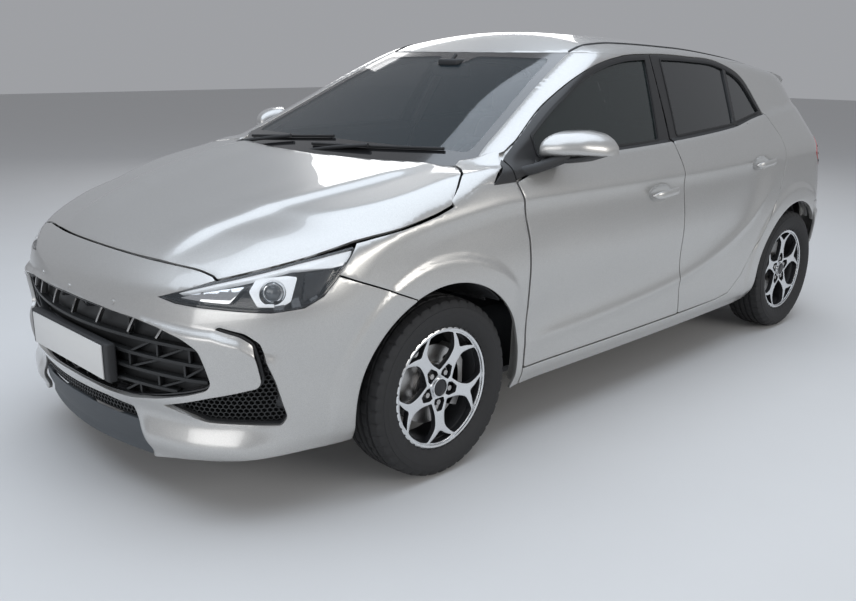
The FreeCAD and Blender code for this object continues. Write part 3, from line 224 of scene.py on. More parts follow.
def hollow(t, width, soft):
    """Bowl that starts where t is 0 and is deepest, at 1, where t is the width."""
    s = (t + np.sqrt(t * t + soft * soft)) / 2 / width
    return s * np.exp(1 - s)


def flank_shape(y, z):
    """How far the pressed forms stand out of the plain side, in metres."""
    out = np.zeros_like(y)
    for axle in (FRONT_AXLE, REAR_AXLE):
        r = np.hypot(y - axle, z - WHEEL_Z)
        flare = step(0.462, 0.440, r) * 0.009 * step(0.21, 0.34, z)
        out = out + flare * (1 if axle > 0 else 1 - step(-0.86, -0.78, y))
    line = np.interp(y, ALONG, sweep_table)
    length = step(-0.86, -0.55, y) * (1 - step(0.90, 1.14, y))
    out = out - (0.019 * hollow(z - line, 0.105, 0.010) + 0.007 * hollow(line - z, 0.045, 0.010)) * length
    waist = np.interp(y, ALONG, crease_table) - 0.012
    out = out - 0.009 * hollow(waist - z, 0.055, 0.009) * step(-1.45, -1.10, y) * (1 - step(0.95, 1.20, y))
    for hy, hz in HANDLES:
        cup = 1 - ((y - hy + 0.012) / 0.080) ** 2 - ((z - hz) / 0.034) ** 2
        out = out - 0.017 * np.clip(cup, 0, 1) ** 0.7
    return out


def nose_shape(x, z):
    """Pressed forms of the front bumper: blades beside the grille stand proud, and the lobes under them."""
    a = np.abs(x)
    top = np.interp(a, BLADE_TOP[0], BLADE_TOP[1])
    blade = step(0.0, 0.032, top - z) * step(0.33, 0.40, z) * step(0.10, 0.36, a) * (1 - step(0.742, 0.775, a))
    lobe = step(0.345, 0.225, z) * step(0.315, 0.400, a) * (1 - step(0.66, 0.80, a))
    return 0.017 * blade + 0.050 * lobe


def around(u, z, lift=0.0, inset=0.0, field=body_field, plain=False):
    """Points of the body's wall at places u and heights z."""
    start, way = rays(u)
    origin, direction = np.column_stack([start, z]), np.column_stack([way, np.zeros(len(u))])
    p = reach(origin, direction, field, inset=inset)
    out = 0 if plain else flank_shape(p[:, 1], z) + nose_shape(p[:, 0], z) * (p[:, 1] < -1.3)
    return p + direction * np.broadcast_to(out + lift, len(u))[:, None]


def over(x, y, lift=0.0, inset=0.0, field=body_field, shape=None):
    """Points of the body's top at places x, y."""
    origin = np.column_stack([x, y, np.full(len(x), 0.35)])
    up = np.tile([0.0, 0.0, 1.0], (len(x), 1))
    p = reach(origin, up, field, inset=inset)
    p[:, 2] += lift + (0 if shape is None else shape(x, y))
    return p


def ahead(x, z, inset=0.0):
    """Points of the glasshouse seen from the front."""
    origin = np.column_stack([x, np.full(len(x), 0.2), z])
    return reach(origin, np.tile([0.0, -1.0, 0.0], (len(x), 1)), upper_field, far=2.4, inset=inset)


def u_at(points):
    """Places u of outline points given as ("x" or "y", value, height); "x" is read at the nearer end."""
    out = []
    for kind, value, z in points:
        if kind == "y" and NOSE_Y <= value <= TAIL_Y:
            out.append((U_SIDE + value - NOSE_Y, z))
            continue
        at_tail = (kind == "y" and value > 0) or kind == "xr"
        span = np.linspace(U_TAIL, U_END, 60) if at_tail else np.linspace(0, U_SIDE, 60)
        p = around(span, np.full(60, z), plain=True)
        seen = p[:, 1] if kind == "y" else p[:, 0]
        order = np.argsort(seen)
        out.append((float(np.interp(value, seen[order], span[order])), z))
    return out


def side(points):
    """Outline in side view, as (y, z), turned to places around the car."""
    return u_at([("y", y, z) for y, z in points])


# Outlines
def steps_between(points, spacing):
    """Points along straight stretches, each stretch cut into steps no longer than the spacing."""
    out = []
    for a, b in zip(points[:-1], points[1:]):
        a, b = np.array(a, float), np.array(b, float)
        count = max(1, int(np.ceil(np.linalg.norm(b - a) / spacing)))
        out += [a + (b - a) * k / count for k in range(count)]
    return out


def chain(points, spacing=0.015):
    """Open line cut into short steps."""
    return np.array(steps_between(points, spacing) + [np.array(points[-1], float)])


def eased(points, spacing=0.012):
    """Smooth line through points, cut into short steps."""
    p = np.array(points, float)
    p = np.vstack([2 * p[0] - p[1], p, 2 * p[-1] - p[-2]])
    out = []
    for a, b, c, d in zip(p, p[1:], p[2:], p[3:]):
        before, length, after = (np.linalg.norm(v) for v in (b - a, c - b, d - c))
        m0 = ((b - a) / before * length + (c - b) / length * before) / (before + length) * length
        m1 = ((c - b) / length * after + (d - c) / after * length) / (after + length) * length
        for t in np.linspace(0, 1, max(2, int(length / spacing)), endpoint=False):
            out.append((1 + 2 * t) * (1 - t) ** 2 * b + t * (1 - t) ** 2 * m0 + t * t * (3 - 2 * t) * c
                       + t * t * (t - 1) * m1)
    return [tuple(q) for q in out + [p[-2]]]


def traced(points):
    """Points in space along an outline given like u_at's, on the plain surface."""
    line = chain(u_at(points))
    return around(line[:, 0], line[:, 1], plain=True)


def mirrored_line(half):
    """Half outline, from the car's middle to its middle, and its mirror image."""
    return half + [(-a, b) for a, b in half[::-1] if abs(a) > 1e-6]


def loop(points, radius=0.0, spacing=0.014):
    """Closed outline with rounded corners, cut into short steps. A point may name its own radius."""
    pts = [np.array(p[:2], float) for p in points]
    radii = [p[2] if len(p) > 2 else radius for p in points]
    line = []
    for i, (b, r) in enumerate(zip(pts, radii)):
        a, c = pts[i - 1], pts[(i + 1) % len(pts)]
        la, lc = np.linalg.norm(a - b), np.linalg.norm(c - b)
        t = min(r, 0.47 * la, 0.47 * lc)
        if t < 0.001:
            line.append(b)
            continue
        start, end = b + (a - b) / la * t, b + (c - b) / lc * t
        for s in np.linspace(0, 1, max(3, int(t / spacing * 2) + 3)):
            line.append((1 - s) ** 2 * start + 2 * s * (1 - s) * b + s * s * end)
    return resample(line, spacing)


def resample(line, spacing):
    """Closed outline cut into steps no longer than the spacing."""
    out = steps_between(list(line) + [line[0]], spacing)
    return np.array([p for i, p in enumerate(out) if np.linalg.norm(p - out[i - 1]) > 1e-5])


def circle(cy, cz, radius, spacing=0.014, start=0.0, end=360.0):
    count = max(12, int(abs(math.radians(end - start)) * radius / spacing))
    turn = np.radians(np.linspace(start, end, count, endpoint=abs(end - start) < 359))
    return [(cy + radius * math.cos(t), cz + radius * math.sin(t)) for t in turn]


def shrunk(line, amount):
    """Outline drawn in by an amount, whichever way it runs."""
    line = np.array(line, float)
    ahead_, behind = np.roll(line, -1, 0), np.roll(line, 1, 0)
    way = ahead_ - behind
    way /= np.linalg.norm(way, axis=1)[:, None] + 1e-12
    area = np.sum(line[:, 0] * ahead_[:, 1] - ahead_[:, 0] * line[:, 1])
    inward = np.column_stack([-way[:, 1], way[:, 0]]) * (1 if area > 0 else -1)
    return line + inward * amount


def contains(line, points):
    """Which points lie inside a closed outline."""
    inside = np.zeros(len(points), bool)
    x, y = points.T
    for (ax, ay), (bx, by) in zip(line, np.roll(line, -1, 0)):
        inside ^= ((ay > y) != (by > y)) & (x < (bx - ax) * (y - ay) / (by - ay + 1e-15) + ax)
    return inside


def sheet_mesh(outline, holes=(), spacing=0.014, extra=()):
    """Points and triangles that fill an outline with its holes cut."""
    loops = [np.array(outline)] + [np.array(h) for h in holes]
    edge = np.concatenate(loops)
    lo, hi = edge.min(0), edge.max(0)
    gx, gy = np.meshgrid(np.arange(lo[0], hi[0], spacing), np.arange(lo[1], hi[1], spacing))
    gx[1::2] += spacing / 2
    grid = np.column_stack([gx.ravel(), gy.ravel()])
    for (x0, x1, y0, y1, fine) in extra:
        fx, fy = np.meshgrid(np.arange(x0, x1, fine), np.arange(y0, y1, fine))
        box = (grid[:, 0] > x0 - fine) & (grid[:, 0] < x1) & (grid[:, 1] > y0 - fine) & (grid[:, 1] < y1)
        grid = np.concatenate([grid[~box], np.column_stack([fx.ravel(), fy.ravel()])])
    keep = contains(loops[0], grid)
    for hole in loops[1:]:
        keep &= ~contains(hole, grid)
    grid = grid[keep]
    near = np.full(len(grid), 1.0)
    for k in range(0, len(edge), 200):
        d = np.linalg.norm(grid[:, None, :] - edge[None, k:k + 200, :], axis=2)
        near = np.minimum(near, d.min(1) if d.size else 1.0)
    grid = grid[near > spacing * (0.4 if extra else 0.45)]
    points = np.concatenate([edge, grid])
    borders, start = [], 0
    for line in loops:
        n = len(line)
        borders += [(start + k, start + (k + 1) % n) for k in range(n)]
        start += n
    made = delaunay_2d_cdt([Vector(p) for p in points], borders, [], 0, 1e-6)
    verts, faces = np.array([tuple(v) for v in made[0]]), np.array(made[2])
    middle = verts[faces].mean(1)
    inside = contains(loops[0], middle)
    for hole in loops[1:]:
        inside &= ~contains(hole, middle)
    faces = faces[inside]
    used = np.unique(faces)
    renumber = np.zeros(len(verts), int)
    renumber[used] = np.arange(len(used))
    return verts[used], renumber[faces]


# Blender helpers
def deselect():
    for o in bpy.context.selected_objects:
        o.select_set(False)


def take(obj):
    deselect()
    obj.select_set(True)
    bpy.context.view_layer.objects.active = obj
    return obj


def new_object(name, points, faces, materials):
    mesh = bpy.data.meshes.new(name)
    mesh.from_pydata([tuple(p) for p in points], [], [tuple(int(i) for i in f) for f in faces])
    mesh.update()
    obj = bpy.data.objects.new(name, mesh)
    bpy.context.scene.collection.objects.link(obj)
    for m in materials:
        mesh.materials.append(m)
    return obj


def apply_modifier(obj, kind, **settings):
    take(obj)
    modifier = obj.modifiers.new(kind.title(), kind)
    for key, value in settings.items():
        setattr(modifier, key, value)
    bpy.ops.object.modifier_apply(modifier=modifier.name)


def smooth(obj, angle=35):
    take(obj)
    bpy.ops.object.shade_smooth_by_angle(angle=math.radians(angle))


def face_outward(obj):
    """Turns every face of a mesh outward."""
    take(obj)
    bpy.ops.object.mode_set(mode="EDIT")
    bpy.ops.mesh.select_all(action="SELECT")
    bpy.ops.mesh.normals_make_consistent(inside=False)
    bpy.ops.object.mode_set(mode="OBJECT")


def settle(obj):
    """Applies the object's place, so that it sits at the origin."""
    take(obj)
    bpy.ops.object.transform_apply(location=True, rotation=True, scale=True)
    return obj


def other_hand(obj, name):
    """Copy of a piece, mirrored to the car's other side."""
    copy = obj.copy()
    copy.data = obj.data.copy()
    copy.name = copy.data.name = name
    bpy.context.scene.collection.objects.link(copy)
    copy.data.transform(Matrix.Scale(-1, 4, Vector((1, 0, 0))))
    copy.data.flip_normals()
    return copy


def panel(name, place, outline, materials, holes=(), spacing=0.014, thick=0.010, bevel=0.0015, outward=None,
          extra=()):
    """Curved sheet inside an outline, laid on the body by place, with a thickness and rounded edges."""
    flat, faces = sheet_mesh(outline, holes, spacing, extra)
    points = place(flat[:, 0], flat[:, 1])
    a, b, c = (points[faces[:, k]] for k in range(3))
    normal = np.cross(b - a, c - a)
    middle = (a + b + c) / 3
    guide = middle * [1, 0.4, 0.4] if outward is None else np.tile(outward, (len(middle), 1))
    if np.sum(normal * guide) < 0:
        faces = faces[:, ::-1]
    obj = new_object(name, points, faces, materials)
    if thick:
        apply_modifier(obj, "SOLIDIFY", thickness=thick, offset=-1.0, use_even_offset=False,
                       use_quality_normals=True)
    if bevel and thick:
        apply_modifier(obj, "BEVEL", width=bevel, segments=2, limit_method="ANGLE",
                       angle_limit=math.radians(55))
    smooth(obj)
    return obj


def primitive(kind, name, materials, **settings):
    deselect()
    getattr(bpy.ops.mesh, f"primitive_{kind}_add")(**settings)
    obj = bpy.context.object
    obj.name = obj.data.name = name
    for m in materials:
        obj.data.materials.append(m)
    return obj


def rounded_box(name, low_corner, high_corner, radius, material, segments=3):
    """Box shaped in edit mode: scaled to its corners, its edges bevelled round."""
    lo, hi = Vector(low_corner), Vector(high_corner)
    obj = primitive("cube", name, [material], size=1, location=(lo + hi) / 2)
    obj.scale = hi - lo
    settle(obj)
    take(obj)
    bpy.ops.object.mode_set(mode="EDIT")
    bpy.ops.mesh.select_all(action="SELECT")
    bpy.ops.mesh.bevel(offset=radius, segments=segments, affect="EDGES")
    bpy.ops.object.mode_set(mode="OBJECT")
    smooth(obj, 40)
    return obj


def turned(name, profile, finish, steps):
    """Profile of (along, radius) points spun about the X axis."""
    obj = new_object(name, [(a, 0, r) for a, r in profile], [], [finish])
    obj.data.edges.add(len(profile) - 1)
    for k, e in enumerate(obj.data.edges):
        e.vertices = (k, k + 1)
    take(obj)
    bpy.ops.object.mode_set(mode="EDIT")
    bpy.ops.mesh.select_all(action="SELECT")
    bpy.ops.mesh.spin(steps=steps, angle=2 * math.pi, center=(0, 0, 0), axis=(1, 0, 0))
    bpy.ops.mesh.select_all(action="SELECT")
    bpy.ops.mesh.remove_doubles(threshold=0.00005)
    bpy.ops.mesh.normals_make_consistent(inside=False)
    bpy.ops.object.mode_set(mode="OBJECT")
    smooth(obj, 30)
    return obj


def swept(name, path, radius, material):
    """Round bar along a smooth path."""
    curve = bpy.data.curves.new(name, "CURVE")
    curve.dimensions = "3D"
    curve.bevel_depth = radius
    curve.bevel_resolution = 3
    curve.use_fill_caps = True
    spline = curve.splines.new("NURBS")
    spline.points.add(len(path) - 1)
    for p, q in zip(spline.points, path):
        p.co = (*q, 1)
    spline.order_u = 3
    spline.use_endpoint_u = True
    curve.resolution_u = 6
    obj = bpy.data.objects.new(name, curve)
    bpy.context.scene.collection.objects.link(obj)
    take(obj)
    bpy.ops.object.convert(target="MESH")
    obj = bpy.context.object
    obj.data.materials.clear()
    obj.data.materials.append(material)
    smooth(obj, 50)
    return obj


def strip(name, path, width, thick, material, up):
    """Flat band along a path of points, its face turned to up."""
    path = [Vector(p) for p in path]
    points, faces = [], []
    for i, p in enumerate(path):
        way = (path[min(i + 1, len(path) - 1)] - path[max(i - 1, 0)]).normalized()
        across = way.cross(Vector(up)).normalized()
        points += [p - across * width / 2, p + across * width / 2]
    for i in range(len(path) - 1):
        faces.append((2 * i, 2 * i + 1, 2 * i + 3, 2 * i + 2))
    obj = new_object(name, points, faces, [material])
    face_outward(obj)
    apply_modifier(obj, "SOLIDIFY", thickness=thick, offset=0.0)
    apply_modifier(obj, "BEVEL", width=thick * 0.3, segments=2, limit_method="ANGLE")
    smooth(obj, 40)
    return obj


def tube_faces(rings, m):
    """Faces between closed rings of m points each, with both ends shut."""
    faces = [(m * j + i, m * j + (i + 1) % m, m * j + m + (i + 1) % m, m * j + m + i)
             for j in range(rings - 1) for i in range(m)]
    return faces + [tuple(range(m - 1, -1, -1)), tuple(m * (rings - 1) + i for i in range(m))]


def joined(objects, name):
    take(objects[0])
    for o in objects[1:]:
        o.select_set(True)
    if len(objects) > 1:
        bpy.ops.object.join()
    obj = bpy.context.object
    obj.name = obj.data.name = name
    return obj


# Materials
def group_nodes(name, inputs, outputs):
    tree = bpy.data.node_groups.new(name, "ShaderNodeTree")
    for label, kind, default in inputs:
        socket = tree.interface.new_socket(label, in_out="INPUT", socket_type=kind)
        if default is not None:
            socket.default_value = default
    for label, kind in outputs:
        tree.interface.new_socket(label, in_out="OUTPUT", socket_type=kind)
    return tree, tree.nodes.new("NodeGroupInput"), tree.nodes.new("NodeGroupOutput")


def link(tree, a, a_socket, b, b_socket):
    tree.links.new(a.outputs[a_socket], b.inputs[b_socket])


def tinted(tree, gin, gout, tone):
    """Passes a group's colour on, scaled by a tone."""
    scale = tree.nodes.new("ShaderNodeVectorMath")
    scale.operation = "SCALE"
    tree.links.new(gin.outputs["Color"], scale.inputs[0])
    tree.links.new(tone, scale.inputs["Scale"])
    tree.links.new(scale.outputs[0], gout.inputs["Color"])


def math_node(tree, operation, first, second):
    node = tree.nodes.new("ShaderNodeMath")
    node.operation = operation
    for socket, value in zip(node.inputs, (first, second)):
        if isinstance(value, (int, float)):
            socket.default_value = value
        else:
            tree.links.new(value, socket)
    return node.outputs[0]


def build_variation():
    """Tone and roughness that change softly over a surface, with a fine height for bump."""
    tree, gin, gout = group_nodes("surface_variation", [
        ("Vector", "NodeSocketVector", None), ("Color", "NodeSocketColor", (0.5, 0.5, 0.5, 1)),
        ("Roughness", "NodeSocketFloat", 0.4), ("Tone", "NodeSocketFloat", 0.1),
        ("Spread", "NodeSocketFloat", 0.1), ("Patch Scale", "NodeSocketFloat", 3.0),
        ("Grain Scale", "NodeSocketFloat", 400.0)],
                                  [("Color", "NodeSocketColor"), ("Roughness", "NodeSocketFloat"),
                                   ("Height", "NodeSocketFloat")])
    patch, grain = tree.nodes.new("ShaderNodeTexNoise"), tree.nodes.new("ShaderNodeTexNoise")
    patch.inputs["Detail"].default_value = 4
    grain.inputs["Detail"].default_value = 2
    for node, scale in ((patch, "Patch Scale"), (grain, "Grain Scale")):
        link(tree, gin, "Vector", node, "Vector")
        link(tree, gin, scale, node, "Scale")
    centred = math_node(tree, "SUBTRACT", patch.outputs["Fac"], 0.5)
    tone = math_node(tree, "ADD", math_node(tree, "MULTIPLY", centred, gin.outputs["Tone"]), 1.0)
    tinted(tree, gin, gout, tone)
    spread = math_node(tree, "MULTIPLY", centred, gin.outputs["Spread"])
    tree.links.new(math_node(tree, "ADD", gin.outputs["Roughness"], spread), gout.inputs["Roughness"])
    link(tree, grain, "Fac", gout, "Height")
    return tree


def build_flake():
    """Metal flakes of a metallic paint: tiny cells, each a little lighter or darker."""
    tree, gin, gout = group_nodes("metal_flake", [
        ("Vector", "NodeSocketVector", None), ("Color", "NodeSocketColor", (0.6, 0.6, 0.6, 1)),
        ("Scale", "NodeSocketFloat", 900.0), ("Amount", "NodeSocketFloat", 0.2)],
        [("Color", "NodeSocketColor"), ("Height", "NodeSocketFloat")])
    cells = tree.nodes.new("ShaderNodeTexVoronoi")
    link(tree, gin, "Vector", cells, "Vector")
    link(tree, gin, "Scale", cells, "Scale")
    grey = tree.nodes.new("ShaderNodeSeparateColor")
    tree.links.new(cells.outputs["Color"], grey.inputs[0])
    shift = math_node(tree, "SUBTRACT", grey.outputs[0], 0.5)
    tone = math_node(tree, "ADD", math_node(tree, "MULTIPLY", shift, gin.outputs["Amount"]), 1.0)
    tinted(tree, gin, gout, tone)
    tree.links.new(grey.outputs[1], gout.inputs["Height"])
    return tree


def build_weave():
    """Threads of a woven cloth crossing at right angles, as colour and height."""
    tree, gin, gout = group_nodes("cloth_weave", [
        ("Vector", "NodeSocketVector", None), ("Color", "NodeSocketColor", (0.1, 0.1, 0.1, 1)),
        ("Scale", "NodeSocketFloat", 300.0), ("Depth", "NodeSocketFloat", 0.5)],
        [("Color", "NodeSocketColor"), ("Height", "NodeSocketFloat")])
    waves = []
    for direction in ("X", "Z"):
        wave = tree.nodes.new("ShaderNodeTexWave")
        wave.bands_direction = direction
        link(tree, gin, "Vector", wave, "Vector")
        link(tree, gin, "Scale", wave, "Scale")
        waves.append(wave.outputs["Fac"])
    both = math_node(tree, "MAXIMUM", *waves)
    tone = math_node(tree, "ADD", math_node(tree, "MULTIPLY", both, gin.outputs["Depth"]), 0.7)
    tinted(tree, gin, gout, tone)
    tree.links.new(both, gout.inputs["Height"])
    return tree


VARIATION, FLAKE, WEAVE = build_variation(), build_flake(), build_weave()
BUMP_DEPTH, INDEX, COAT_ROUGHNESS = 0.0005, 1.45, 0.03


def material(name, color, roughness, metallic=0.0, tone=0.08, spread=0.08, patch=3.0, grain=400.0, bump=0.1,
             coat=0.0, alpha=1.0, flake=0.0, weave=0.0, emission=0.0, sheen=0.0):
    """One finish: its own colour and gloss, with the shared groups for what varies over it."""
    m = bpy.data.materials.new(name)
    m.use_nodes = True
    tree = m.node_tree
    shader = tree.nodes["Principled BSDF"]
    place = tree.nodes.new("ShaderNodeTexCoord")
    vary = tree.nodes.new("ShaderNodeGroup")
    vary.node_tree = VARIATION
    rgba = (*color, 1)
    for key, value in (("Color", rgba), ("Roughness", roughness), ("Tone", tone), ("Spread", spread),
                       ("Patch Scale", patch), ("Grain Scale", grain)):
        vary.inputs[key].default_value = value
    link(tree, place, "Object", vary, "Vector")
    height = vary
    if flake or weave:
        extra = tree.nodes.new("ShaderNodeGroup")
        extra.node_tree = FLAKE if flake else WEAVE
        link(tree, place, "Object", extra, "Vector")
        extra.inputs["Color"].default_value = rgba
        if flake:
            extra.inputs["Amount"].default_value = flake
        else:
            extra.inputs["Scale"].default_value = weave
            height = extra
        link(tree, extra, "Color", vary, "Color")
    link(tree, vary, "Color", shader, "Base Color")
    link(tree, vary, "Roughness", shader, "Roughness")
    if bump:
        node = tree.nodes.new("ShaderNodeBump")
        node.inputs["Strength"].default_value = bump
        node.inputs["Distance"].default_value = BUMP_DEPTH
        link(tree, height, "Height", node, "Height")
        link(tree, node, "Normal", shader, "Normal")
    for key, value in (("Metallic", metallic), ("Coat Weight", coat), ("Coat Roughness", COAT_ROUGHNESS),
                       ("IOR", INDEX), ("Alpha", alpha), ("Sheen Weight", sheen)):
        shader.inputs[key].default_value = value
    if emission:
        shader.inputs["Emission Color"].default_value = rgba
        shader.inputs["Emission Strength"].default_value = emission
    return m


def glass_material(name, color, alpha):
    """Thin tinted glass: see-through by alpha, with a clear glossy face."""
    return material(name, color, 0.02, tone=0.02, spread=0.0, bump=0, alpha=alpha, coat=1.0)


paint = material("silver_paint", (0.515, 0.512, 0.501), 0.33, metallic=0.72, tone=0.03, spread=0.03, coat=1.0,
                 flake=0.22, bump=0.02, grain=900)
black_gloss = material("black_gloss", (0.012, 0.012, 0.013), 0.12, coat=0.6, bump=0.02)
black_plastic = material("black_plastic", (0.028, 0.029, 0.031), 0.55, tone=0.2, bump=0.25, grain=1400)
dark_mesh = material("dark_mesh", (0.018, 0.019, 0.020), 0.42, tone=0.2, bump=0.1)
chin_grey = material("chin_grey", (0.060, 0.068, 0.076), 0.5, tone=0.12, bump=0.25, grain=1200)
rubber = material("rubber", (0.022, 0.022, 0.023), 0.72, tone=0.25, spread=0.12, bump=0.3, grain=700, patch=9)
seal = material("seal_rubber", (0.014, 0.014, 0.015), 0.6, bump=0.15)
machined = material("machined_alloy", (0.78, 0.79, 0.80), 0.24, metallic=1.0, tone=0.05, spread=0.06, bump=0.05,
                    grain=1500)
dark_alloy = material("dark_alloy", (0.030, 0.031, 0.034), 0.36, metallic=0.35, bump=0.05)
cast_iron = material("cast_iron", (0.15, 0.15, 0.155), 0.55, metallic=0.8, tone=0.3, spread=0.2, patch=20,
                     bump=0.3, grain=300)
disc_steel = material("disc_steel", (0.48, 0.47, 0.46), 0.30, metallic=1.0, tone=0.15, spread=0.12, patch=30,
                      bump=0.1)
chrome = material("bright_chrome", (0.85, 0.86, 0.87), 0.07, metallic=1.0, tone=0.02, spread=0.02, bump=0)
lens_white = material("lamp_light_bar", (0.86, 0.89, 0.92), 0.16, tone=0.03, bump=0, coat=1.0, emission=0.25)
projector = material("projector_glass", (0.10, 0.11, 0.12), 0.03, coat=1.0, bump=0, metallic=0.3)
red_lens = material("red_lens", (0.40, 0.012, 0.010), 0.08, coat=1.0, bump=0, tone=0.05)
clear_lens = glass_material("clear_lens", (0.20, 0.22, 0.24), 0.10)
window = glass_material("window_glass", (0.012, 0.018, 0.018), 0.74)
dark_window = glass_material("dark_window_glass", (0.008, 0.010, 0.011), 0.90)
screen = glass_material("windscreen_glass", (0.020, 0.035, 0.045), 0.42)
frame_black = material("window_frame_black", (0.020, 0.020, 0.021), 0.38, tone=0.06, bump=0.03, grain=1500)
trim = material("soft_trim", (0.035, 0.035, 0.038), 0.66, tone=0.15, bump=0.4, grain=1100)
trim_light = material("headlining", (0.36, 0.355, 0.34), 0.85, tone=0.06, bump=0.3, grain=900)
fabric = material("seat_cloth", (0.055, 0.056, 0.060), 0.9, tone=0.15, weave=420.0, bump=0.5, sheen=0.3)
fabric_centre = material("seat_cloth_centre", (0.085, 0.087, 0.092), 0.92, tone=0.15, weave=260.0, bump=0.6,
                         sheen=0.3)
leather = material("steering_leather", (0.022, 0.022, 0.024), 0.48, tone=0.1, bump=0.5, grain=1300)
underbody = material("underbody_coat", (0.035, 0.035, 0.036), 0.7, tone=0.4, spread=0.2, patch=6, bump=0.4,
                     grain=250)
engine_cast = material("engine_cast", (0.34, 0.34, 0.35), 0.5, metallic=0.8, tone=0.3, spread=0.2, bump=0.4,
                       grain=220)
pipe_steel = material("pipe_steel", (0.42, 0.41, 0.40), 0.38, metallic=1.0, tone=0.35, spread=0.2, patch=8,
                      bump=0.2)
plate_white = material("blank_plate", (0.62, 0.62, 0.61), 0.4, tone=0.06, coat=0.3, bump=0.02)
screen_face = material("dash_screen", (0.010, 0.012, 0.016), 0.08, coat=1.0, bump=0)
caliper_silver = material("caliper_cast", (0.55, 0.55, 0.55), 0.45, metallic=0.8, tone=0.2, bump=0.3, grain=300)

for name, kept in (("floor_pan", underbody), ("rear_wheel_houses", underbody), ("front_structure", underbody),
                   ("wheel_liners", black_plastic), ("engine", engine_cast), ("radiator", engine_cast),
                   ("front_subframe", cast_iron), ("rear_axle", cast_iron), ("exhaust", pipe_steel),
                   ("fuel_tank", black_plastic), ("panel_hinges", cast_iron), ("knuckle_left", caliper_silver),
                   ("knuckle_right", caliper_silver), ("body_sides", paint), ("cowl", black_plastic)):
    nodes[name].data.materials.clear()
    nodes[name].data.materials.append(kept)


def place(obj, body, slot, *replaced):
    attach(obj, body)
    if replaced:
        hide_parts(*replaced)
    return obj


# Shared outlines, in side view
FRONT_DOOR_EDGE = [(-0.7545, 0.288), (-0.7580, 0.520), (-0.7715, 0.770), (-0.7995, 0.905), (-0.8210, 0.974)]
B_SHUT = [(0.3045, 0.288), (0.2885, 0.470), (0.2405, 0.905), (0.2305, 1.035), (0.3005, 1.402)]
REAR_DOOR_EDGE = [(1.1735, 1.130), (1.2405, 1.010), (1.2325, 0.878), (1.1725, 0.730), (1.0065, 0.512),
                  (0.8885, 0.372), (0.7685, 0.298), (0.6485, 0.288)]
WINDOW_ARC = eased([(-0.817, 1.046), (-0.715, 1.100), (-0.4615, 1.232), (-0.1515, 1.350), (0.0785, 1.392),
                    (0.3005, 1.402), (0.62, 1.393), (0.9085, 1.366), (1.0785, 1.298), (1.1765, 1.130)])
DOOR_TOP_FRONT = [p for p in WINDOW_ARC if p[0] < 0.295] + [(0.3005, 1.402)]
DOOR_TOP_REAR = [(0.3005, 1.402)] + [p for p in WINDOW_ARC if p[0] > 0.306]
FRONT_GLASS = [(-0.6415, 1.046)] + eased([(-0.6415, 1.113), (-0.45, 1.211), (-0.143, 1.328), (0.080, 1.370),
                                          (0.250, 1.379)]) + [
    (0.148, 1.058)]
REAR_GLASS = [(0.303, 1.068)] + eased([(0.374, 1.379), (0.62, 1.371), (0.888, 1.344), (1.048, 1.280),
                                       (1.138, 1.136)]) + [
    (0.8085, 1.092)]
FRONT_OPENING = [(-0.730, 0.312), (-0.748, 0.770), (-0.775, 0.905), (-0.765, 1.020), (-0.445, 1.203),
                 (-0.146, 1.322), (0.080, 1.366), (0.276, 1.376), (0.205, 1.035), (0.215, 0.905),
                 (0.262, 0.470), (0.278, 0.312)]
REAR_OPENING = [(0.330, 0.312), (0.314, 0.470), (0.266, 0.905), (0.257, 1.035), (0.328, 1.376), (0.898, 1.346),
                (1.055, 1.285), (1.144, 1.130), (1.210, 1.005), (1.203, 0.882), (1.146, 0.743), (0.984, 0.530),
                (0.867, 0.394), (0.760, 0.325), (0.650, 0.312)]
LAMP = [("x", 0.446, 0.700), ("x", 0.542, 0.734), ("x", 0.612, 0.758), ("x", 0.677, 0.780), ("x", 0.753, 0.812),
        ("y", -1.5190, 0.843), ("y", -1.5340, 0.820), ("y", -1.5840, 0.770), ("y", -1.6400, 0.718),
        ("y", -1.6970, 0.688), ("x", 0.760, 0.679), ("x", 0.652, 0.688), ("x", 0.516, 0.690)]
NOSE_SHUT = eased([(0.0, 0.7835), (0.15, 0.7825), (0.30, 0.7800), (0.43, 0.7780), (0.53, 0.7745),
                   (0.585, 0.7670)], 0.03)
BONNET_EDGE = [("x", x, z + 0.0015) for x, z in NOSE_SHUT] + [
               ("x", 0.606, 0.7610), ("x", 0.677, 0.785), ("x", 0.753, 0.817), ("y", -1.5070, 0.857),
               ("y", -1.4460, 0.8665), ("y", -1.3500, 0.8785), ("y", -1.2690, 0.892), ("y", -1.2000, 0.9065),
               ("y", -1.1310, 0.926)]


def at_depth(lift):
    return lambda u, z: around(u, z, lift=lift, plain=True)


def on_belt(y0, y1):
    return [(y, float(belt_z(y))) for y in np.linspace(y0, y1, 14)]


def both_hands(piece, body, slot, *replaced):
    """Places a left piece and its mirrored copy; body may hold the hand as {}."""
    for hand, sign in HANDS:
        one = piece if sign > 0 else other_hand(piece, piece.name.replace("left", "right"))
        place(one, body.format(hand), slot, *(r.format(hand) for r in replaced if "{}" in r or sign > 0))


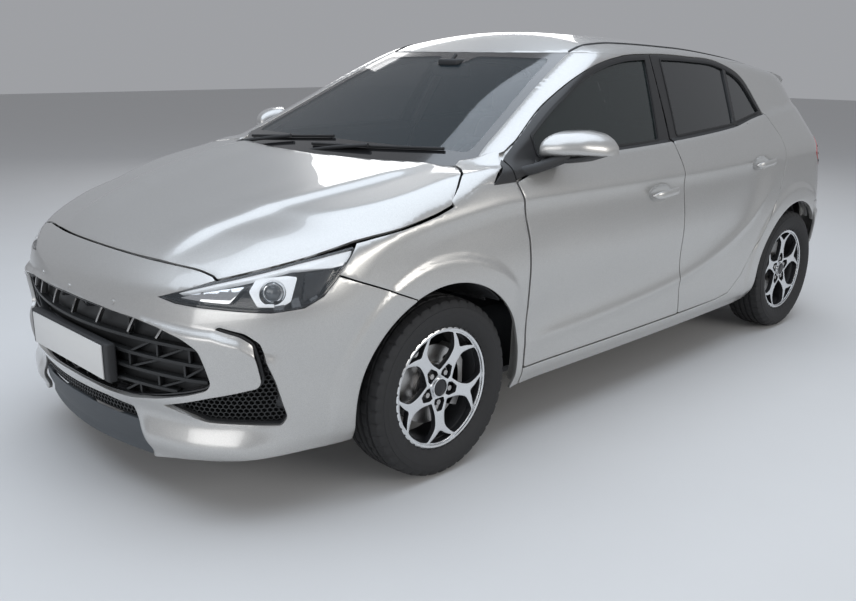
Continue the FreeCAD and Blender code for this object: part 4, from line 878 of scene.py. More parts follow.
def ribs(name, lines, width, lift0, lift1, material):
    """Bars that follow the body's wall along lines of (u, z), from one depth to another."""
    points, faces = [], []
    for line in lines:
        line = chain(line, 0.02)
        way = np.gradient(line, axis=0)
        way /= np.linalg.norm(way, axis=1)[:, None] + 1e-9
        across = np.column_stack([-way[:, 1], way[:, 0]]) * width / 2
        rows = []
        for lift, offset in ((lift1, across), (lift1, -across), (lift0, -across), (lift0, across)):
            q = line + offset
            rows.append(around(q[:, 0], q[:, 1], lift=lift, plain=True))
        start, n = len(points), len(line)
        for k in range(n):
            points += [row[k] for row in rows]
        for k in range(n - 1):
            a, b = start + 4 * k, start + 4 * k + 4
            faces += [(a + i, a + (i + 1) % 4, b + (i + 1) % 4, b + i) for i in range(4)]
        faces += [(start + 3, start + 2, start + 1, start), tuple(start + 4 * (n - 1) + i for i in range(4))]
    obj = new_object(name, points, faces, [material])
    apply_modifier(obj, "BEVEL", width=0.0008, segments=1, limit_method="ANGLE")
    smooth(obj, 40)
    return obj


def honeycomb(name, outline, cell, lift, depth, material, inside=0.006):
    """Walls of six-sided cells that fill an outline."""
    keep = shrunk(outline, inside)
    lo, hi = keep.min(0), keep.max(0)
    centres = [(x + (row % 2) * cell / 2, z) for row, z in enumerate(np.arange(lo[1], hi[1], cell * 0.866))
               for x in np.arange(lo[0], hi[0], cell)]
    centres = np.array(centres)
    centres = centres[contains(keep, centres)]
    turn = np.radians(np.arange(6) * 60 + 30)
    star = np.column_stack([np.cos(turn), np.sin(turn)]) * cell / math.sqrt(3)
    rings = []
    for scale, level in ((1.0, lift), (0.80, lift), (0.72, lift - depth)):
        q = (centres[:, None, :] + star[None] * scale).reshape(-1, 2)
        rings.append(around(q[:, 0], q[:, 1], lift=level, plain=True).reshape(-1, 6, 3))
    n = len(centres)
    points = np.concatenate([r.reshape(-1, 3) for r in rings])
    faces = []
    for c in range(n):
        for i in range(6):
            j = (i + 1) % 6
            for level in (0, 1):
                a, b = level * 6 * n + 6 * c, (level + 1) * 6 * n + 6 * c
                faces.append((a + i, a + j, b + j, b + i))
    return new_object(name, points, faces, [material])


# Monocoque's painted side behind the doors, and its trim inside
side_line = side([(-0.775, 0.232), (0.88, 0.232), (0.97, 0.240)]
                 + circle(REAR_AXLE, WHEEL_Z, ARCH + 0.010, start=184, end=42)
                 + [(1.6365, 0.652), (1.7885, 0.704)]) + u_at([
                     ("xr", 0.530, 0.712), ("xr", 0.576, 0.820), ("xr", 0.596, 1.010), ("xr", 0.624, 1.130),
                     ("xr", 0.610, 1.240), ("xr", 0.600, 1.330), ("y", 1.500, 1.352)]) + side(
                         [(1.20, 1.364), (0.95, 1.376), (0.3005, 1.406), (0.0785, 1.398), (-0.08, 1.385),
                          (-0.20, 1.345), (-0.42, 1.250), (-0.62, 1.155), (-0.77, 1.064), (-0.860, 0.990),
                          (-0.830, 0.905), (-0.785, 0.700)])
openings = [loop(side(FRONT_OPENING), 0.05), loop(side(REAR_OPENING), 0.05)]
frame_side = panel("body_side_left_frame", at_depth(-0.024), resample(side_line, 0.018), [paint],
                   holes=openings, thick=0.022, spacing=0.022)
frame_trim = panel("body_side_left_trim", at_depth(-0.048), shrunk(resample(side_line, 0.02), 0.01),
                   [trim_light], holes=[shrunk(line, -0.004) for line in openings], thick=0.012, spacing=0.03)
both_hands(frame_side, "chassis", "paint", "body_sides")
both_hands(frame_trim, "chassis", "trim")

# Doors: painted skin, black window frame, inner trim with armrest, glass, and the outside pull handle
for end, skin_line, frame_line, window_line, glass_finish in (
        ("front", FRONT_DOOR_EDGE + [(-0.755, 0.990), (-0.690, 1.008)] + on_belt(-0.62, 0.228) + B_SHUT[3::-1],
         DOOR_TOP_FRONT + [(0.2305, 1.035)] + on_belt(0.225, -0.62)
         + [(-0.690, 1.009), (-0.755, 0.991), (-0.8200, 0.975)], FRONT_GLASS, window),
        ("rear", B_SHUT[:4] + on_belt(0.24, 1.17) + REAR_DOOR_EDGE, DOOR_TOP_REAR + on_belt(1.165, 0.24),
         REAR_GLASS, dark_window)):
    body, name = f"door_{end}_{{}}", f"door_{end}"
    hy, hz = HANDLES[0] if end == "front" else HANDLES[1]
    hu = U_SIDE + hy - NOSE_Y
    skin = panel(f"{name}_left_skin", around, shrunk(loop(side(skin_line), 0.012), GAP / 2), [paint],
                 thick=0.012, spacing=0.010, extra=((hu - 0.11, hu + 0.09, hz - 0.045, hz + 0.045, 0.006),))
    both_hands(skin, body, "paint", f"door_{end}_{{}}")
    hole = loop(side(window_line), 0.012, 0.010)
    both_hands(panel(f"{name}_left_frame", lambda u, z: around(u, z, lift=-0.001, plain=True),
                     shrunk(loop(side(frame_line), 0.008, 0.008), GAP / 2), [frame_black], holes=[hole],
                     thick=0.020, spacing=0.009), body,
               "black_plastic")
    both_hands(panel(f"{name}_left_seal", at_depth(0.0015), shrunk(hole, -0.007), [seal],
                     holes=[shrunk(hole, 0.001)], thick=0.004, bevel=0), body, "black_plastic")
    belt_ends = (-0.60, 0.215) if end == "front" else (0.25, 1.15)
    both_hands(ribs(f"{name}_left_belt_seal", [side(on_belt(*belt_ends))], 0.022, -0.022, -0.005, seal), body,
               "black_plastic")
    inner_line = shrunk(loop(side(skin_line), 0.06, 0.025), 0.028)
    inner_line[:, 1] += 0.022 * step(0.92, 0.98, inner_line[:, 1])
    both_hands(panel(f"{name}_left_trim", at_depth(-0.036), inner_line, [trim], thick=0.050, spacing=0.03,
                     bevel=0.006), body, "trim")
    y0, y1 = (-0.42, 0.10) if end == "front" else (0.42, 0.86)
    rest = rounded_box(f"{name}_left_armrest", (0.742, y0, 0.700), (0.802, y1, 0.752), 0.018, trim)
    both_hands(rest, body, "trim")
    glass_sheet = panel(f"{name}_left_glass",
                        lambda u, z: around(u, z, inset=0.008, field=upper_field, plain=True),
                        shrunk(hole, -0.006), [glass_finish], thick=0.004, bevel=0, spacing=0.03)
    both_hands(glass_sheet, body, "glass", f"glass_{end}_{{}}")
    # Handle: a grip that bridges the pressed cup
    ends = np.linspace(-1, 1, 25)
    at = around(np.full(len(ends), hu) + ends * 0.092, hz + 0.004 + ends * 0.006, plain=True)
    lift = 0.004 + 0.026 * np.sqrt(np.clip(1 - ends ** 4, 0, 1))
    size = 0.0145 * np.sqrt(np.clip(1.02 - ends ** 6, 0.02, 1))
    turn = np.linspace(0, 2 * math.pi, 16, endpoint=False)
    points = [(p[0] + h + math.cos(t) * 0.42 * r, p[1], p[2] + math.sin(t) * r * 1.05)
              for p, h, r in zip(at, lift, size) for t in turn]
    grip = new_object(f"{name}_left_handle", points, tube_faces(len(ends), len(turn)), [paint])
    smooth(grip, 60)
    both_hands(grip, body, "paint")
divider = ribs("door_rear_left_divider", [side([(0.848, 1.084), (0.925, 1.338)])], 0.024, -0.016, 0.001,
               frame_black)
both_hands(divider, "door_rear_{}", "black_plastic")

# Fender, quarter panel with sill, windscreen pillar and the black triangle by the mirror
arch_front = circle(FRONT_AXLE, WHEEL_Z, ARCH, start=-14, end=113)
fender_line = u_at([("y", -1.5070, 0.852), ("y", -1.4460, 0.862), ("y", -1.3500, 0.875), ("y", -1.2690, 0.888),
                    ("y", -1.2000, 0.9025), ("y", -1.1310, 0.922)]) + side(
    [(-1.0700, 0.952), (-0.990, 0.984), (-0.938, 0.992), (-0.924, 0.9775), (-0.8250, 0.9775),
     (-0.8035, 0.905), (-0.7755, 0.770), (-0.7620, 0.520), (-0.7585, 0.288), (-0.7585, 0.222),
     (-0.8050, 0.214)] + arch_front
    + [(-1.3080, 0.6515), (-1.5870, 0.7695), (-1.5330, 0.826)])
fender = panel("fender_left_skin", around, shrunk(resample(fender_line, 0.012), 0.0025), [paint], thick=0.010,
               spacing=0.012)
arch_rear = circle(REAR_AXLE, WHEEL_Z, ARCH, start=180, end=40)
tail_edge = [("xr", 0.520, 0.712), ("xr", 0.566, 0.820), ("xr", 0.586, 1.010), ("xr", 0.618, 1.130),
             ("xr", 0.602, 1.240), ("xr", 0.592, 1.330), ("y", 1.500, 1.352)]
quarter_line = side([(-0.7545, 0.285), (-0.7545, 0.222), (0.90, 0.222), (1.005, 0.228), (1.035, 0.262)]
                    + arch_rear
                    + [(1.6365, 0.652), (1.7885, 0.704)]) + u_at(tail_edge) + side(
                        [(1.20, 1.366), (0.98, 1.378)] + [p for p in DOOR_TOP_REAR if p[0] > 0.93]
                        + REAR_DOOR_EDGE[1:]
                        + [(0.3045, 0.285)])
lamp_line = side([(1.6405, 0.905), (1.7005, 0.985)]) + u_at([("xr", 0.586, 0.978),
                                                             ("xr", 0.562, 0.826)]) + side(
    [(1.7605, 0.824)])
tail_hole = loop(lamp_line, 0.02)
quarter = panel("quarter_left_skin", around, resample(quarter_line, 0.014), [paint],
                holes=[shrunk(tail_hole, -0.002)], thick=0.020)
tail_lens = panel("tail_lamp_left_lens", lambda u, z: around(u, z, lift=0.002), shrunk(tail_hole, 0.001),
                  [red_lens], thick=0.022, spacing=0.01, bevel=0.004)
heights = np.linspace(1.044, 1.404, 24)
glass_edge = ahead(0.700 - (heights - 1.030) * 0.475, heights)
pillar_line = side([(float(p[1]), float(p[2])) for p in glass_edge]
                   + [(-0.085, 1.412), (-0.02, 1.412), (0.10, 1.404)]
                   + [(y, z) for y, z in DOOR_TOP_FRONT[::-1] if -0.72 < y < 0.09]
                   + [(-0.784, 1.068), (-0.868, 1.043)])
pillar = panel("windscreen_pillar_left_skin", around, resample(pillar_line, 0.008), [paint], thick=0.014,
               spacing=0.007, bevel=0.001)
sail_line = [(-0.934, 0.973), (-0.8245, 0.975), (-0.8225, 1.044)]
sail = panel("sail_left", lambda u, z: around(u, z, lift=0.002), loop(side(sail_line), 0.003, 0.008),
             [frame_black], thick=0.010, spacing=0.008)
# Fender's top between the bonnet, the windscreen's foot and the pillar, seen from above
lower_rim = around(*np.array(side([(-0.822, 1.049), (-0.860, 1.022), (-0.932, 0.976), (-0.950, 0.978),
                                   (-0.990, 0.974), (-1.035, 0.958), (-1.064, 0.944), (-1.100, 0.926),
                                   (-1.122, 0.915)])).T)
shoulder_line = [(0.8350, -1.127), (0.8240, -1.0985), (0.8100, -1.0685), (0.769, -1.004), (0.719, -0.9625),
                 (0.668, -0.939), (0.655, -0.905), (0.690, -0.876),
                 (0.738, -0.793)] + [(float(p[0]), float(p[1])) for p in lower_rim]
corner = panel("fender_left_corner", lambda x, y: over(x, y, lift=0.0003), resample(shoulder_line, 0.008),
               [paint], thick=0.008, spacing=0.008, outward=UPWARD, bevel=0.001)
both_hands(fender, "chassis", "paint", "fenders")
both_hands(corner, "chassis", "paint")
both_hands(quarter, "chassis", "paint")
both_hands(tail_lens, "chassis", "red_lens", "tail_lamps")
both_hands(pillar, "chassis", "paint")
both_hands(sail, "chassis", "black_plastic")
for z in (0.862, 0.900, 0.938):
    both_hands(ribs("tail_lamp_left_bar", [side([(1.70, z), (1.80, z + 0.006)])
                                           + u_at([("xr", 0.60, z + 0.010)])], 0.010,
                    0.001, 0.0045, black_gloss), "chassis", "red_lens")


# Hinges of the doors, the bonnet and the tailgate, close behind the skins
hinge_parts = []
for x, y, levels, inner in ((0.856, -0.714, (0.618, 0.752), 0.740), (0.846, 0.302, (0.606, 0.742), 0.790)):
    for z in levels:
        pin = primitive("cylinder", "pin", [cast_iron], radius=0.004, depth=0.031, vertices=16,
                        location=(x, y, z))
        hinge_parts += [settle(pin)] + [
            rounded_box("leaf", (inner, y - 0.006, z + rise), (x + 0.006, y + 0.006, z + rise + 0.006), 0.0015,
                        cast_iron, 2)
            for rise in (0.0095, -0.0155)]
for low_corner, high_corner in (((0.286, 1.446, 1.295), (0.314, 1.517, 1.303)),
                                ((0.286, 1.446, 1.295), (0.314, 1.464, 1.349)),
                                ((0.286, 1.507, 1.301), (0.295, 1.517, 1.366)),
                                ((0.305, 1.507, 1.301), (0.314, 1.517, 1.366)),
                                ((0.578, -1.000, 0.896), (0.589, -0.984, 0.972))):
    hinge_parts.append(rounded_box("arm", low_corner, high_corner, 0.002, cast_iron, 2))
both_hands(joined(hinge_parts, "hinges_left"), "chassis", "steel", "panel_hinges")


# Bonnet
def bonnet_forms(x, y):
    """Two long ridges from the nose to the windscreen's corners, with the middle sunk a little."""
    a = np.abs(x)
    crest = 0.34 + 0.22 * step(-1.95, -1.00, y)
    ridge = np.where(a < crest, np.exp(-((a - crest) / 0.13) ** 2), np.exp(-((a - crest) / 0.040) ** 2))
    fade = step(-1.95, -1.75, y) * (1 - 0.6 * step(-1.15, -1.00, y))
    return 0.012 * ridge * fade - 0.004 * np.exp(-(a / 0.2) ** 2) * fade


front_points = traced(BONNET_EDGE)
half_line = [tuple(p[:2]) for p in front_points] + [(0.806, -1.070), (0.765, -1.010), (0.715, -0.968),
                                                    (0.664, -0.945), (0.500, -0.985), (0.300, -1.022),
                                                    (0.0, -1.040)]
bonnet_line = mirrored_line(half_line)
bonnet = panel("bonnet_skin", lambda x, y: over(x, y, field=lower_field, shape=bonnet_forms),
               shrunk(loop(bonnet_line, 0.012), 0.002), [paint], thick=0.010, outward=UPWARD)
place(bonnet, "bonnet", "paint", "bonnet")
liner_line = [(x * 0.86, -1.48 + (y + 1.48) * 0.82) for x, y in bonnet_line]
bonnet_liner = panel("bonnet_liner", lambda x, y: over(x, y, lift=-0.016, field=lower_field),
                     loop(liner_line, 0.05, 0.04), [black_plastic], thick=0.018, outward=UPWARD, spacing=0.05,
                     bevel=0.006)
place(bonnet_liner, "bonnet", "black_plastic")

# Roof
top_line = chain([(-0.090, 1.402), (-0.020, 1.401)] + [(y, z + 0.001) for y, z in WINDOW_ARC if 0.07 < y < 0.96]
                 + [(1.00, 1.371), (1.20, 1.363), (1.50, 1.353)], 0.03)
rail = around(np.array([u for u, _ in side(top_line)]), top_line[:, 1], plain=True)
screen_top = ahead(np.linspace(0, 0.530, 12), np.full(12, 1.403))
half_roof = [tuple(p[:2]) for p in screen_top] + [tuple(p[:2]) for p in rail] + [(0.0, 1.503)]
roof_line = mirrored_line(half_roof)
roof = panel("roof_skin", lambda x, y: over(x, y, lift=0.0005, field=upper_field), resample(roof_line, 0.016),
             [paint], thick=0.012, outward=UPWARD, spacing=0.018)
place(roof, "chassis", "paint")
headlining = panel("headlining", lambda x, y: over(x * 0.97, y, inset=0.034, field=upper_field),
                   shrunk(loop(roof_line, 0.05, 0.03), 0.02), [trim_light], thick=0.010, outward=UPWARD,
                   spacing=0.05)
place(headlining, "chassis", "trim", "roof_panel")
for hand, sign in HANDS:
    along = np.linspace(-0.128, 1.48, 34)
    across = np.interp(along, (-0.128, 0.6, 1.48), (0.520, 0.536, 0.520)) * sign
    ditch = over(across, along, lift=0.0025, field=upper_field)
    place(strip(f"roof_ditch_{hand}", ditch, 0.010, 0.003, seal, (0.35 * sign, 0, 1)), "chassis",
          "black_plastic")

# Windscreen with its black border
half_screen = [(0.0, 1.008), (0.52, 1.010), (0.694, 1.022), (0.704, 1.042), (0.526, 1.410), (0.0, 1.412)]
screen_line = loop(mirrored_line(half_screen), 0.015, 0.014)
windscreen = panel("windscreen_glass", lambda x, z: ahead(x, z, inset=0.003), screen_line, [screen],
                   thick=0.005, bevel=0, outward=(0, -1, 0.5), spacing=0.035)
place(windscreen, "chassis", "glass", "windscreen")
inner_screen = [(0.0, 1.066), (0.55, 1.062), (0.648, 1.058), (0.482, 1.380), (0.10, 1.386), (0.07, 1.350),
                (0.0, 1.348)]
border = panel("windscreen_border", lambda x, z: ahead(x, z, inset=0.0022), screen_line, [black_gloss],
               holes=[loop(mirrored_line(inner_screen), 0.03, 0.02)], thick=0.0015, bevel=0,
               outward=(0, -1, 0.5))
place(border, "chassis", "black_plastic")


# Tailgate: panel round the window, inner trim, and the spoiler that carries the roof's line on
SPOILER = [(0.0, 1.513), (0.600, 1.513), (0.597, 1.600), (0.580, 1.700), (0.525, 1.860), (0.300, 1.905),
           (0.0, 1.915)]
half_window = [(u - U_END, z) for u, z in u_at([("xr", 0.0, 1.088), ("xr", 0.495, 1.090), ("xr", 0.540, 1.128),
                                                ("xr", 0.486, 1.274), ("xr", 0.250, 1.296),
                                                ("xr", 0.0, 1.304)])]
rear_line = mirrored_line(half_window)


def behind(u, z, lift=0.0):
    """Wall of the tail, with u counted from the tail's middle, the left side negative."""
    p = around(U_END - np.abs(u), z, lift=lift)
    p[:, 0] *= np.where(u <= 0, 1, -1)
    return p


def spoiler_underside(u):
    """Height at which the tail's wall runs into the spoiler's underside, at places u."""
    z = np.full(len(u), 1.30)
    for _ in range(8):
        p = behind(u, z)
        z = roof_height(p[:, 0], p[:, 1]) - 0.016
    return z


gate_side = chain(u_at(tail_edge[:6]), 0.008) + [0.005 - U_END, 0.0]
gate_side = gate_side[gate_side[:, 1] < spoiler_underside(gate_side[:, 0])]
gate_top = np.linspace(gate_side[-1, 0], 0.0, 16)[1:]
gate_line = mirrored_line([(0.0, 0.716)] + [(u, max(z, 0.716)) for u, z in gate_side]
                          + list(zip(gate_top, spoiler_underside(gate_top))))


def gate_forms(x, z):
    """Fold across the tailgate under the window, and the plate's recess."""
    fold = 0.012 * np.exp(-((z - 1.035) / 0.025) ** 2) * step(0.62, 0.50, np.abs(x))
    plate = step(0.29, 0.27, np.abs(x)) * step(0.775, 0.79, z) * step(0.935, 0.92, z)
    return fold - 0.016 * plate


def gate_place(u, z):
    p = behind(u, z)
    p[:, 1] += gate_forms(p[:, 0], z)
    return p


window_hole = loop(rear_line, 0.03)
gate = panel("tailgate_skin", gate_place, loop(gate_line, 0.012), [paint], holes=[window_hole], thick=0.012,
             outward=(0, 1, 0.2))
gate_trim = panel("tailgate_trim", lambda u, z: behind(u, z, -0.034),
                  shrunk(loop(gate_line, 0.05, 0.03), 0.025), [trim], holes=[loop(rear_line, 0.03, 0.03)],
                  thick=0.030, spacing=0.03, bevel=0.004, outward=(0, 1, 0.2))
rear_window = panel("tailgate_window", lambda u, z: behind(u, z, -0.006), shrunk(window_hole, -0.006),
                    [dark_window], thick=0.004, bevel=0, outward=(0, 1, 0.3), spacing=0.03)
place(rear_window, "tailgate", "glass", "tailgate_glass")


def roof_and_sides(x, y, z):
    """Below zero under the roof and between the side walls, with no tail."""
    wall_side = np.abs(x) - HALF + glass(2, z) + side_bow(y)
    return rounded(wall_side, z - roof_height(x, y), ROOF_EDGE)


spoiler = panel("tailgate_spoiler", lambda x, y: over(x, y, lift=0.0005, field=roof_and_sides),
                loop(mirrored_line(SPOILER), 0.012), [paint], thick=0.022, bevel=0.005, outward=UPWARD,
                spacing=0.018)
brake_light = rounded_box("high_brake_lamp", (-0.16, 1.9145, 1.292), (0.16, 1.9205, 1.302), 0.002, red_lens)
place(gate, "tailgate", "paint", "tailgate_panel")
place(gate_trim, "tailgate", "trim")
place(spoiler, "tailgate", "paint")
place(brake_light, "tailgate", "red_lens")

# Front bumper with its openings, and what fills them
GRILLE = [("x", 0.0, 0.372), ("x", 0.227, 0.366), ("x", 0.344, 0.372), ("x", 0.471, 0.397), ("x", 0.571, 0.425),
          ("x", 0.626, 0.446), ("x", 0.638, 0.467), ("x", 0.628, 0.519), ("x", 0.613, 0.570),
          ("x", 0.564, 0.598), ("x", 0.476, 0.618), ("x", 0.369, 0.630), ("x", 0.200, 0.636), ("x", 0.0, 0.640)]
INTAKE = [("x", 0.473, 0.375), ("x", 0.627, 0.424), ("x", 0.729, 0.456), ("x", 0.736, 0.474),
          ("x", 0.734, 0.531), ("x", 0.728, 0.587), ("x", 0.707, 0.609), ("x", 0.650, 0.630),
          ("x", 0.660, 0.638), ("x", 0.716, 0.620), ("x", 0.742, 0.590), ("x", 0.757, 0.471),
          ("x", 0.764, 0.352), ("x", 0.753, 0.325), ("x", 0.692, 0.334), ("x", 0.608, 0.338),
          ("x", 0.544, 0.356)]
flip = np.array([-1.0, 1.0])
grille_line = loop(mirrored_line(u_at(GRILLE)), 0.018)
intake_line = loop(u_at(INTAKE), 0.010, 0.008)
lamp_outline = loop(u_at(LAMP), 0.008, 0.008)
bumper_top = u_at([("x", x, z - 0.0015) for x, z in NOSE_SHUT] + [
    ("x", 0.602, 0.7585), ("x", 0.542, 0.732), ("x", 0.444, 0.698), ("x", 0.516, 0.688), ("x", 0.652, 0.686),
    ("x", 0.760, 0.677), ("y", -1.6970, 0.686), ("y", -1.6400, 0.715), ("y", -1.5870, 0.7655)])
arch_part = side([(-1.3080, 0.6495)] + circle(FRONT_AXLE, WHEEL_Z, ARCH, start=114, end=194))
bottom_half = u_at([("y", -1.60, 0.224), ("x", 0.760, 0.226), ("x", 0.672, 0.224), ("x", 0.559, 0.216),
                    ("x", 0.383, 0.184), ("x", 0.335, 0.336), ("x", 0.20, 0.344), ("x", 0.0, 0.344)])
bumper_half = bumper_top + arch_part + bottom_half
bumper_line = resample(mirrored_line(bumper_half), 0.012)
blade_in, blade_out = (u for u, _ in u_at([("x", 0.400, 0.630), ("x", 0.762, 0.600)]))
bumper = panel("bumper_front_skin", around, bumper_line, [paint],
               holes=[grille_line, intake_line, intake_line[::-1] * flip], thick=0.014, spacing=0.012,
               outward=FORWARD,
               extra=((blade_in, blade_out, 0.545, 0.662, 0.005), (-blade_out, -blade_in, 0.545, 0.662, 0.005)))
place(bumper, "chassis", "paint", "bumper_front")
backing = panel("grille_backing", at_depth(-0.040), shrunk(grille_line, -0.012), [dark_mesh], thick=0.004,
                bevel=0, outward=FORWARD)
frame_rim = panel("grille_rim", at_depth(-0.004), shrunk(grille_line, -0.002), [black_gloss],
                  holes=[shrunk(grille_line, 0.007)], thick=0.034, bevel=0.001, outward=FORWARD)


def half_front(x, z):
    u = u_at([("x", abs(x), z)])[0][0]
    return (u if x >= 0 else -u, z)


slats, uprights, bright = [], [], []
for z, reach_x in ((0.560, 0.600), (0.510, 0.615), (0.462, 0.620), (0.418, 0.520)):
    slats.append([half_front(x, z) for x in np.linspace(-reach_x, reach_x, 13)])
for x, z0, z1 in ((0.33, 0.56, 0.618), (0.33, 0.462, 0.51), (0.45, 0.51, 0.56), (0.45, 0.418, 0.462),
                  (0.55, 0.462, 0.51), (0.37, 0.380, 0.418), (0.22, 0.380, 0.418), (0.08, 0.380, 0.418),
                  (0.57, 0.51, 0.56)):
    for sign in (1, -1):
        uprights.append([half_front(x * sign, z0), half_front(x * sign, z1)])
for x0, z0, x1, z1 in ((0.33, 0.462, 0.45, 0.505), (0.45, 0.51, 0.55, 0.555), (0.45, 0.418, 0.55, 0.458),
                       (0.33, 0.51, 0.42, 0.556), (0.30, 0.38, 0.37, 0.418), (0.15, 0.38, 0.22, 0.418),
                       (0.0, 0.38, 0.08, 0.418), (0.55, 0.465, 0.61, 0.505)):
    for sign in (1, -1):
        uprights.append([half_front(x0 * sign, z0), half_front(x1 * sign, z1)])
for x in (0.0, 0.16, 0.32, 0.44):
    for sign in (1, -1):
        bright.append([half_front(x * sign + 0.012, 0.574),
                       half_front(x * sign + 0.040, 0.628 - 0.6 * max(0, abs(x) - 0.4) ** 1.2)])
slat_piece = ribs("grille_slats", slats, 0.010, -0.034, -0.010, dark_mesh)
upright_piece = ribs("grille_uprights", uprights, 0.007, -0.036, -0.014, dark_mesh)
bright_piece = ribs("grille_bright_bars", bright, 0.007, -0.024, -0.008, disc_steel)
for piece in (backing, frame_rim, slat_piece, upright_piece, bright_piece):
    place(piece, "chassis", "black_plastic", *(("grille_inserts",) if piece is backing else ()))
lower_strip = loop(mirrored_line(u_at([("x", 0.0, 0.294), ("x", 0.343, 0.294), ("x", 0.332, 0.342),
                                       ("x", 0.0, 0.348)])), 0.003)
place(honeycomb("lower_mesh", lower_strip, 0.016, -0.004, 0.016, dark_mesh, 0.002), "chassis", "black_plastic")
place(panel("lower_mesh_backing", at_depth(-0.022), shrunk(lower_strip, -0.01), [black_plastic], thick=0.004,
            bevel=0, outward=FORWARD), "chassis", "black_plastic")
for side_name, sign in HANDS:
    line = intake_line if sign > 0 else intake_line[::-1] * flip
    place(honeycomb(f"intake_{side_name}_mesh", line, 0.015, -0.022, 0.016, dark_mesh), "chassis",
          "black_plastic")
    place(panel(f"intake_{side_name}_backing", at_depth(-0.040), shrunk(line, -0.010), [black_plastic],
                thick=0.004, bevel=0, outward=FORWARD), "chassis", "black_plastic")
    place(panel(f"intake_{side_name}_rim", at_depth(-0.010), shrunk(line, -0.003), [black_plastic],
                holes=[shrunk(line, 0.004)], thick=0.030, bevel=0, outward=FORWARD), "chassis", "black_plastic")
chin_line = loop(mirrored_line(u_at([("x", 0.0, 0.172), ("x", 0.386, 0.176), ("x", 0.348, 0.294),
                                     ("x", 0.0, 0.298)])), 0.004)
chin = panel("chin_lip_skin", lambda u, z: around(u, z, lift=0.002 + 0.022 * step(0.300, 0.190, z), plain=True),
             chin_line, [chin_grey], thick=0.014, outward=FORWARD)
place(chin, "chassis", "black_plastic", "chin_lip")

# Blank number plate on its carrier, and two small sensors
carrier = rounded_box("plate_carrier", (-0.286, -2.060, 0.408), (0.286, -2.028, 0.532), 0.006, black_plastic)
plate = rounded_box("plate_blank", (-0.260, -2.0655, 0.415), (0.260, -2.0605, 0.525), 0.0018, plate_white, 2)
place(carrier, "chassis", "black_plastic")
place(plate, "chassis", "paint")
for n, (x, z) in enumerate(((-0.007, 0.658), (0.262, 0.655), (-0.262, 0.655))):
    u, z = half_front(x, z)
    at = around(np.array([u]), np.array([z]))[0]
    knob = primitive("cylinder", f"nose_sensor_{n}", [paint], radius=0.008, depth=0.006, vertices=24,
                     location=at, rotation=(math.radians(80), 0, math.atan2(at[0], 4)))
    place(settle(knob), "chassis", "paint")

# Rear bumper and diffuser
rear_half = u_at([("xr", 0.0, 0.708), ("xr", 0.50, 0.708), ("y", 1.7885, 0.700), ("y", 1.6405, 0.650)])
rear_arch = side(circle(REAR_AXLE, WHEEL_Z, ARCH, start=38, end=-13))
rear_bottom = u_at([("y", 1.80, 0.228), ("xr", 0.560, 0.235), ("xr", 0.525, 0.330), ("xr", 0.475, 0.372),
                    ("xr", 0.0, 0.372)])
half_rear = np.array(rear_half + rear_arch + rear_bottom)
half_rear[:, 0] -= U_END
whole_rear = resample(mirrored_line(list(half_rear)), 0.014)


def behind_shaped(u, z):
    """The rear bumper with its step: the part under z 0.60 stands proud."""
    return behind(u, z, 0.010 * step(0.61, 0.585, z) * step(0.36, 0.42, z))


rear_bumper = panel("bumper_rear_skin", behind_shaped, whole_rear, [paint], thick=0.014, outward=REARWARD)
place(rear_bumper, "chassis", "paint", "bumper_rear")
half_diffuser = np.array(u_at([("xr", 0.0, 0.369), ("xr", 0.472, 0.369), ("xr", 0.522, 0.328),
                               ("xr", 0.556, 0.215), ("xr", 0.0, 0.215)]))
half_diffuser[:, 0] -= U_END
diffuser = panel("diffuser_skin", lambda u, z: behind(u, z, -0.004),
                 loop(mirrored_line(list(half_diffuser)), 0.01), [black_plastic], thick=0.012, outward=REARWARD)
place(diffuser, "chassis", "black_plastic", "diffuser")
place(rounded_box("rear_plate_blank", (-0.260, 2.004, 0.800), (0.260, 2.009, 0.910), 0.0018, plate_white, 2),
      "tailgate", "paint")

# Headlamps: clear lens, dark housing, bright bar along the top, inner reflector and a projector
LIGHT_BAR = [("x", 0.470, 0.706), ("x", 0.542, 0.730), ("x", 0.612, 0.754), ("x", 0.677, 0.776),
             ("x", 0.753, 0.808), ("y", -1.5290, 0.832), ("y", -1.5600, 0.795), ("y", -1.6000, 0.790),
             ("x", 0.753, 0.790), ("x", 0.677, 0.760), ("x", 0.612, 0.741), ("x", 0.542, 0.720)]
REFLECTOR = [("x", 0.520, 0.702), ("x", 0.560, 0.716), ("x", 0.640, 0.736), ("x", 0.688, 0.746),
             ("x", 0.672, 0.700)]
BLOCK = [("y", -1.675, 0.778), ("y", -1.600, 0.782), ("y", -1.655, 0.720), ("y", -1.70, 0.704)]
lens = panel("headlamp_left_lens", lambda u, z: around(u, z, lift=0.0005, plain=True), lamp_outline,
             [clear_lens], thick=0.003, bevel=0, spacing=0.012)
housing = panel("headlamp_left_housing", at_depth(-0.040), shrunk(lamp_outline, -0.001), [black_gloss],
                thick=0.006, bevel=0, spacing=0.012)
rim = panel("headlamp_left_rim", at_depth(-0.002), lamp_outline, [black_gloss],
            holes=[shrunk(lamp_outline, 0.0045)], thick=0.038, bevel=0, spacing=0.02)
bar = panel("headlamp_left_bar", at_depth(-0.008), loop(u_at(LIGHT_BAR), 0.004, 0.008), [lens_white],
            thick=0.018, bevel=0.002, spacing=0.01)
reflector = panel("headlamp_left_reflector", at_depth(-0.014), loop(u_at(REFLECTOR), 0.006, 0.008), [chrome],
                  thick=0.010, bevel=0.002, spacing=0.01)
block_piece = panel("headlamp_left_block", at_depth(-0.012), loop(u_at(BLOCK), 0.006, 0.008), [dark_alloy],
                    thick=0.020, bevel=0.002, spacing=0.01)
eye_u, eye_z = u_at([("y", -1.770, 0.729)])[0]
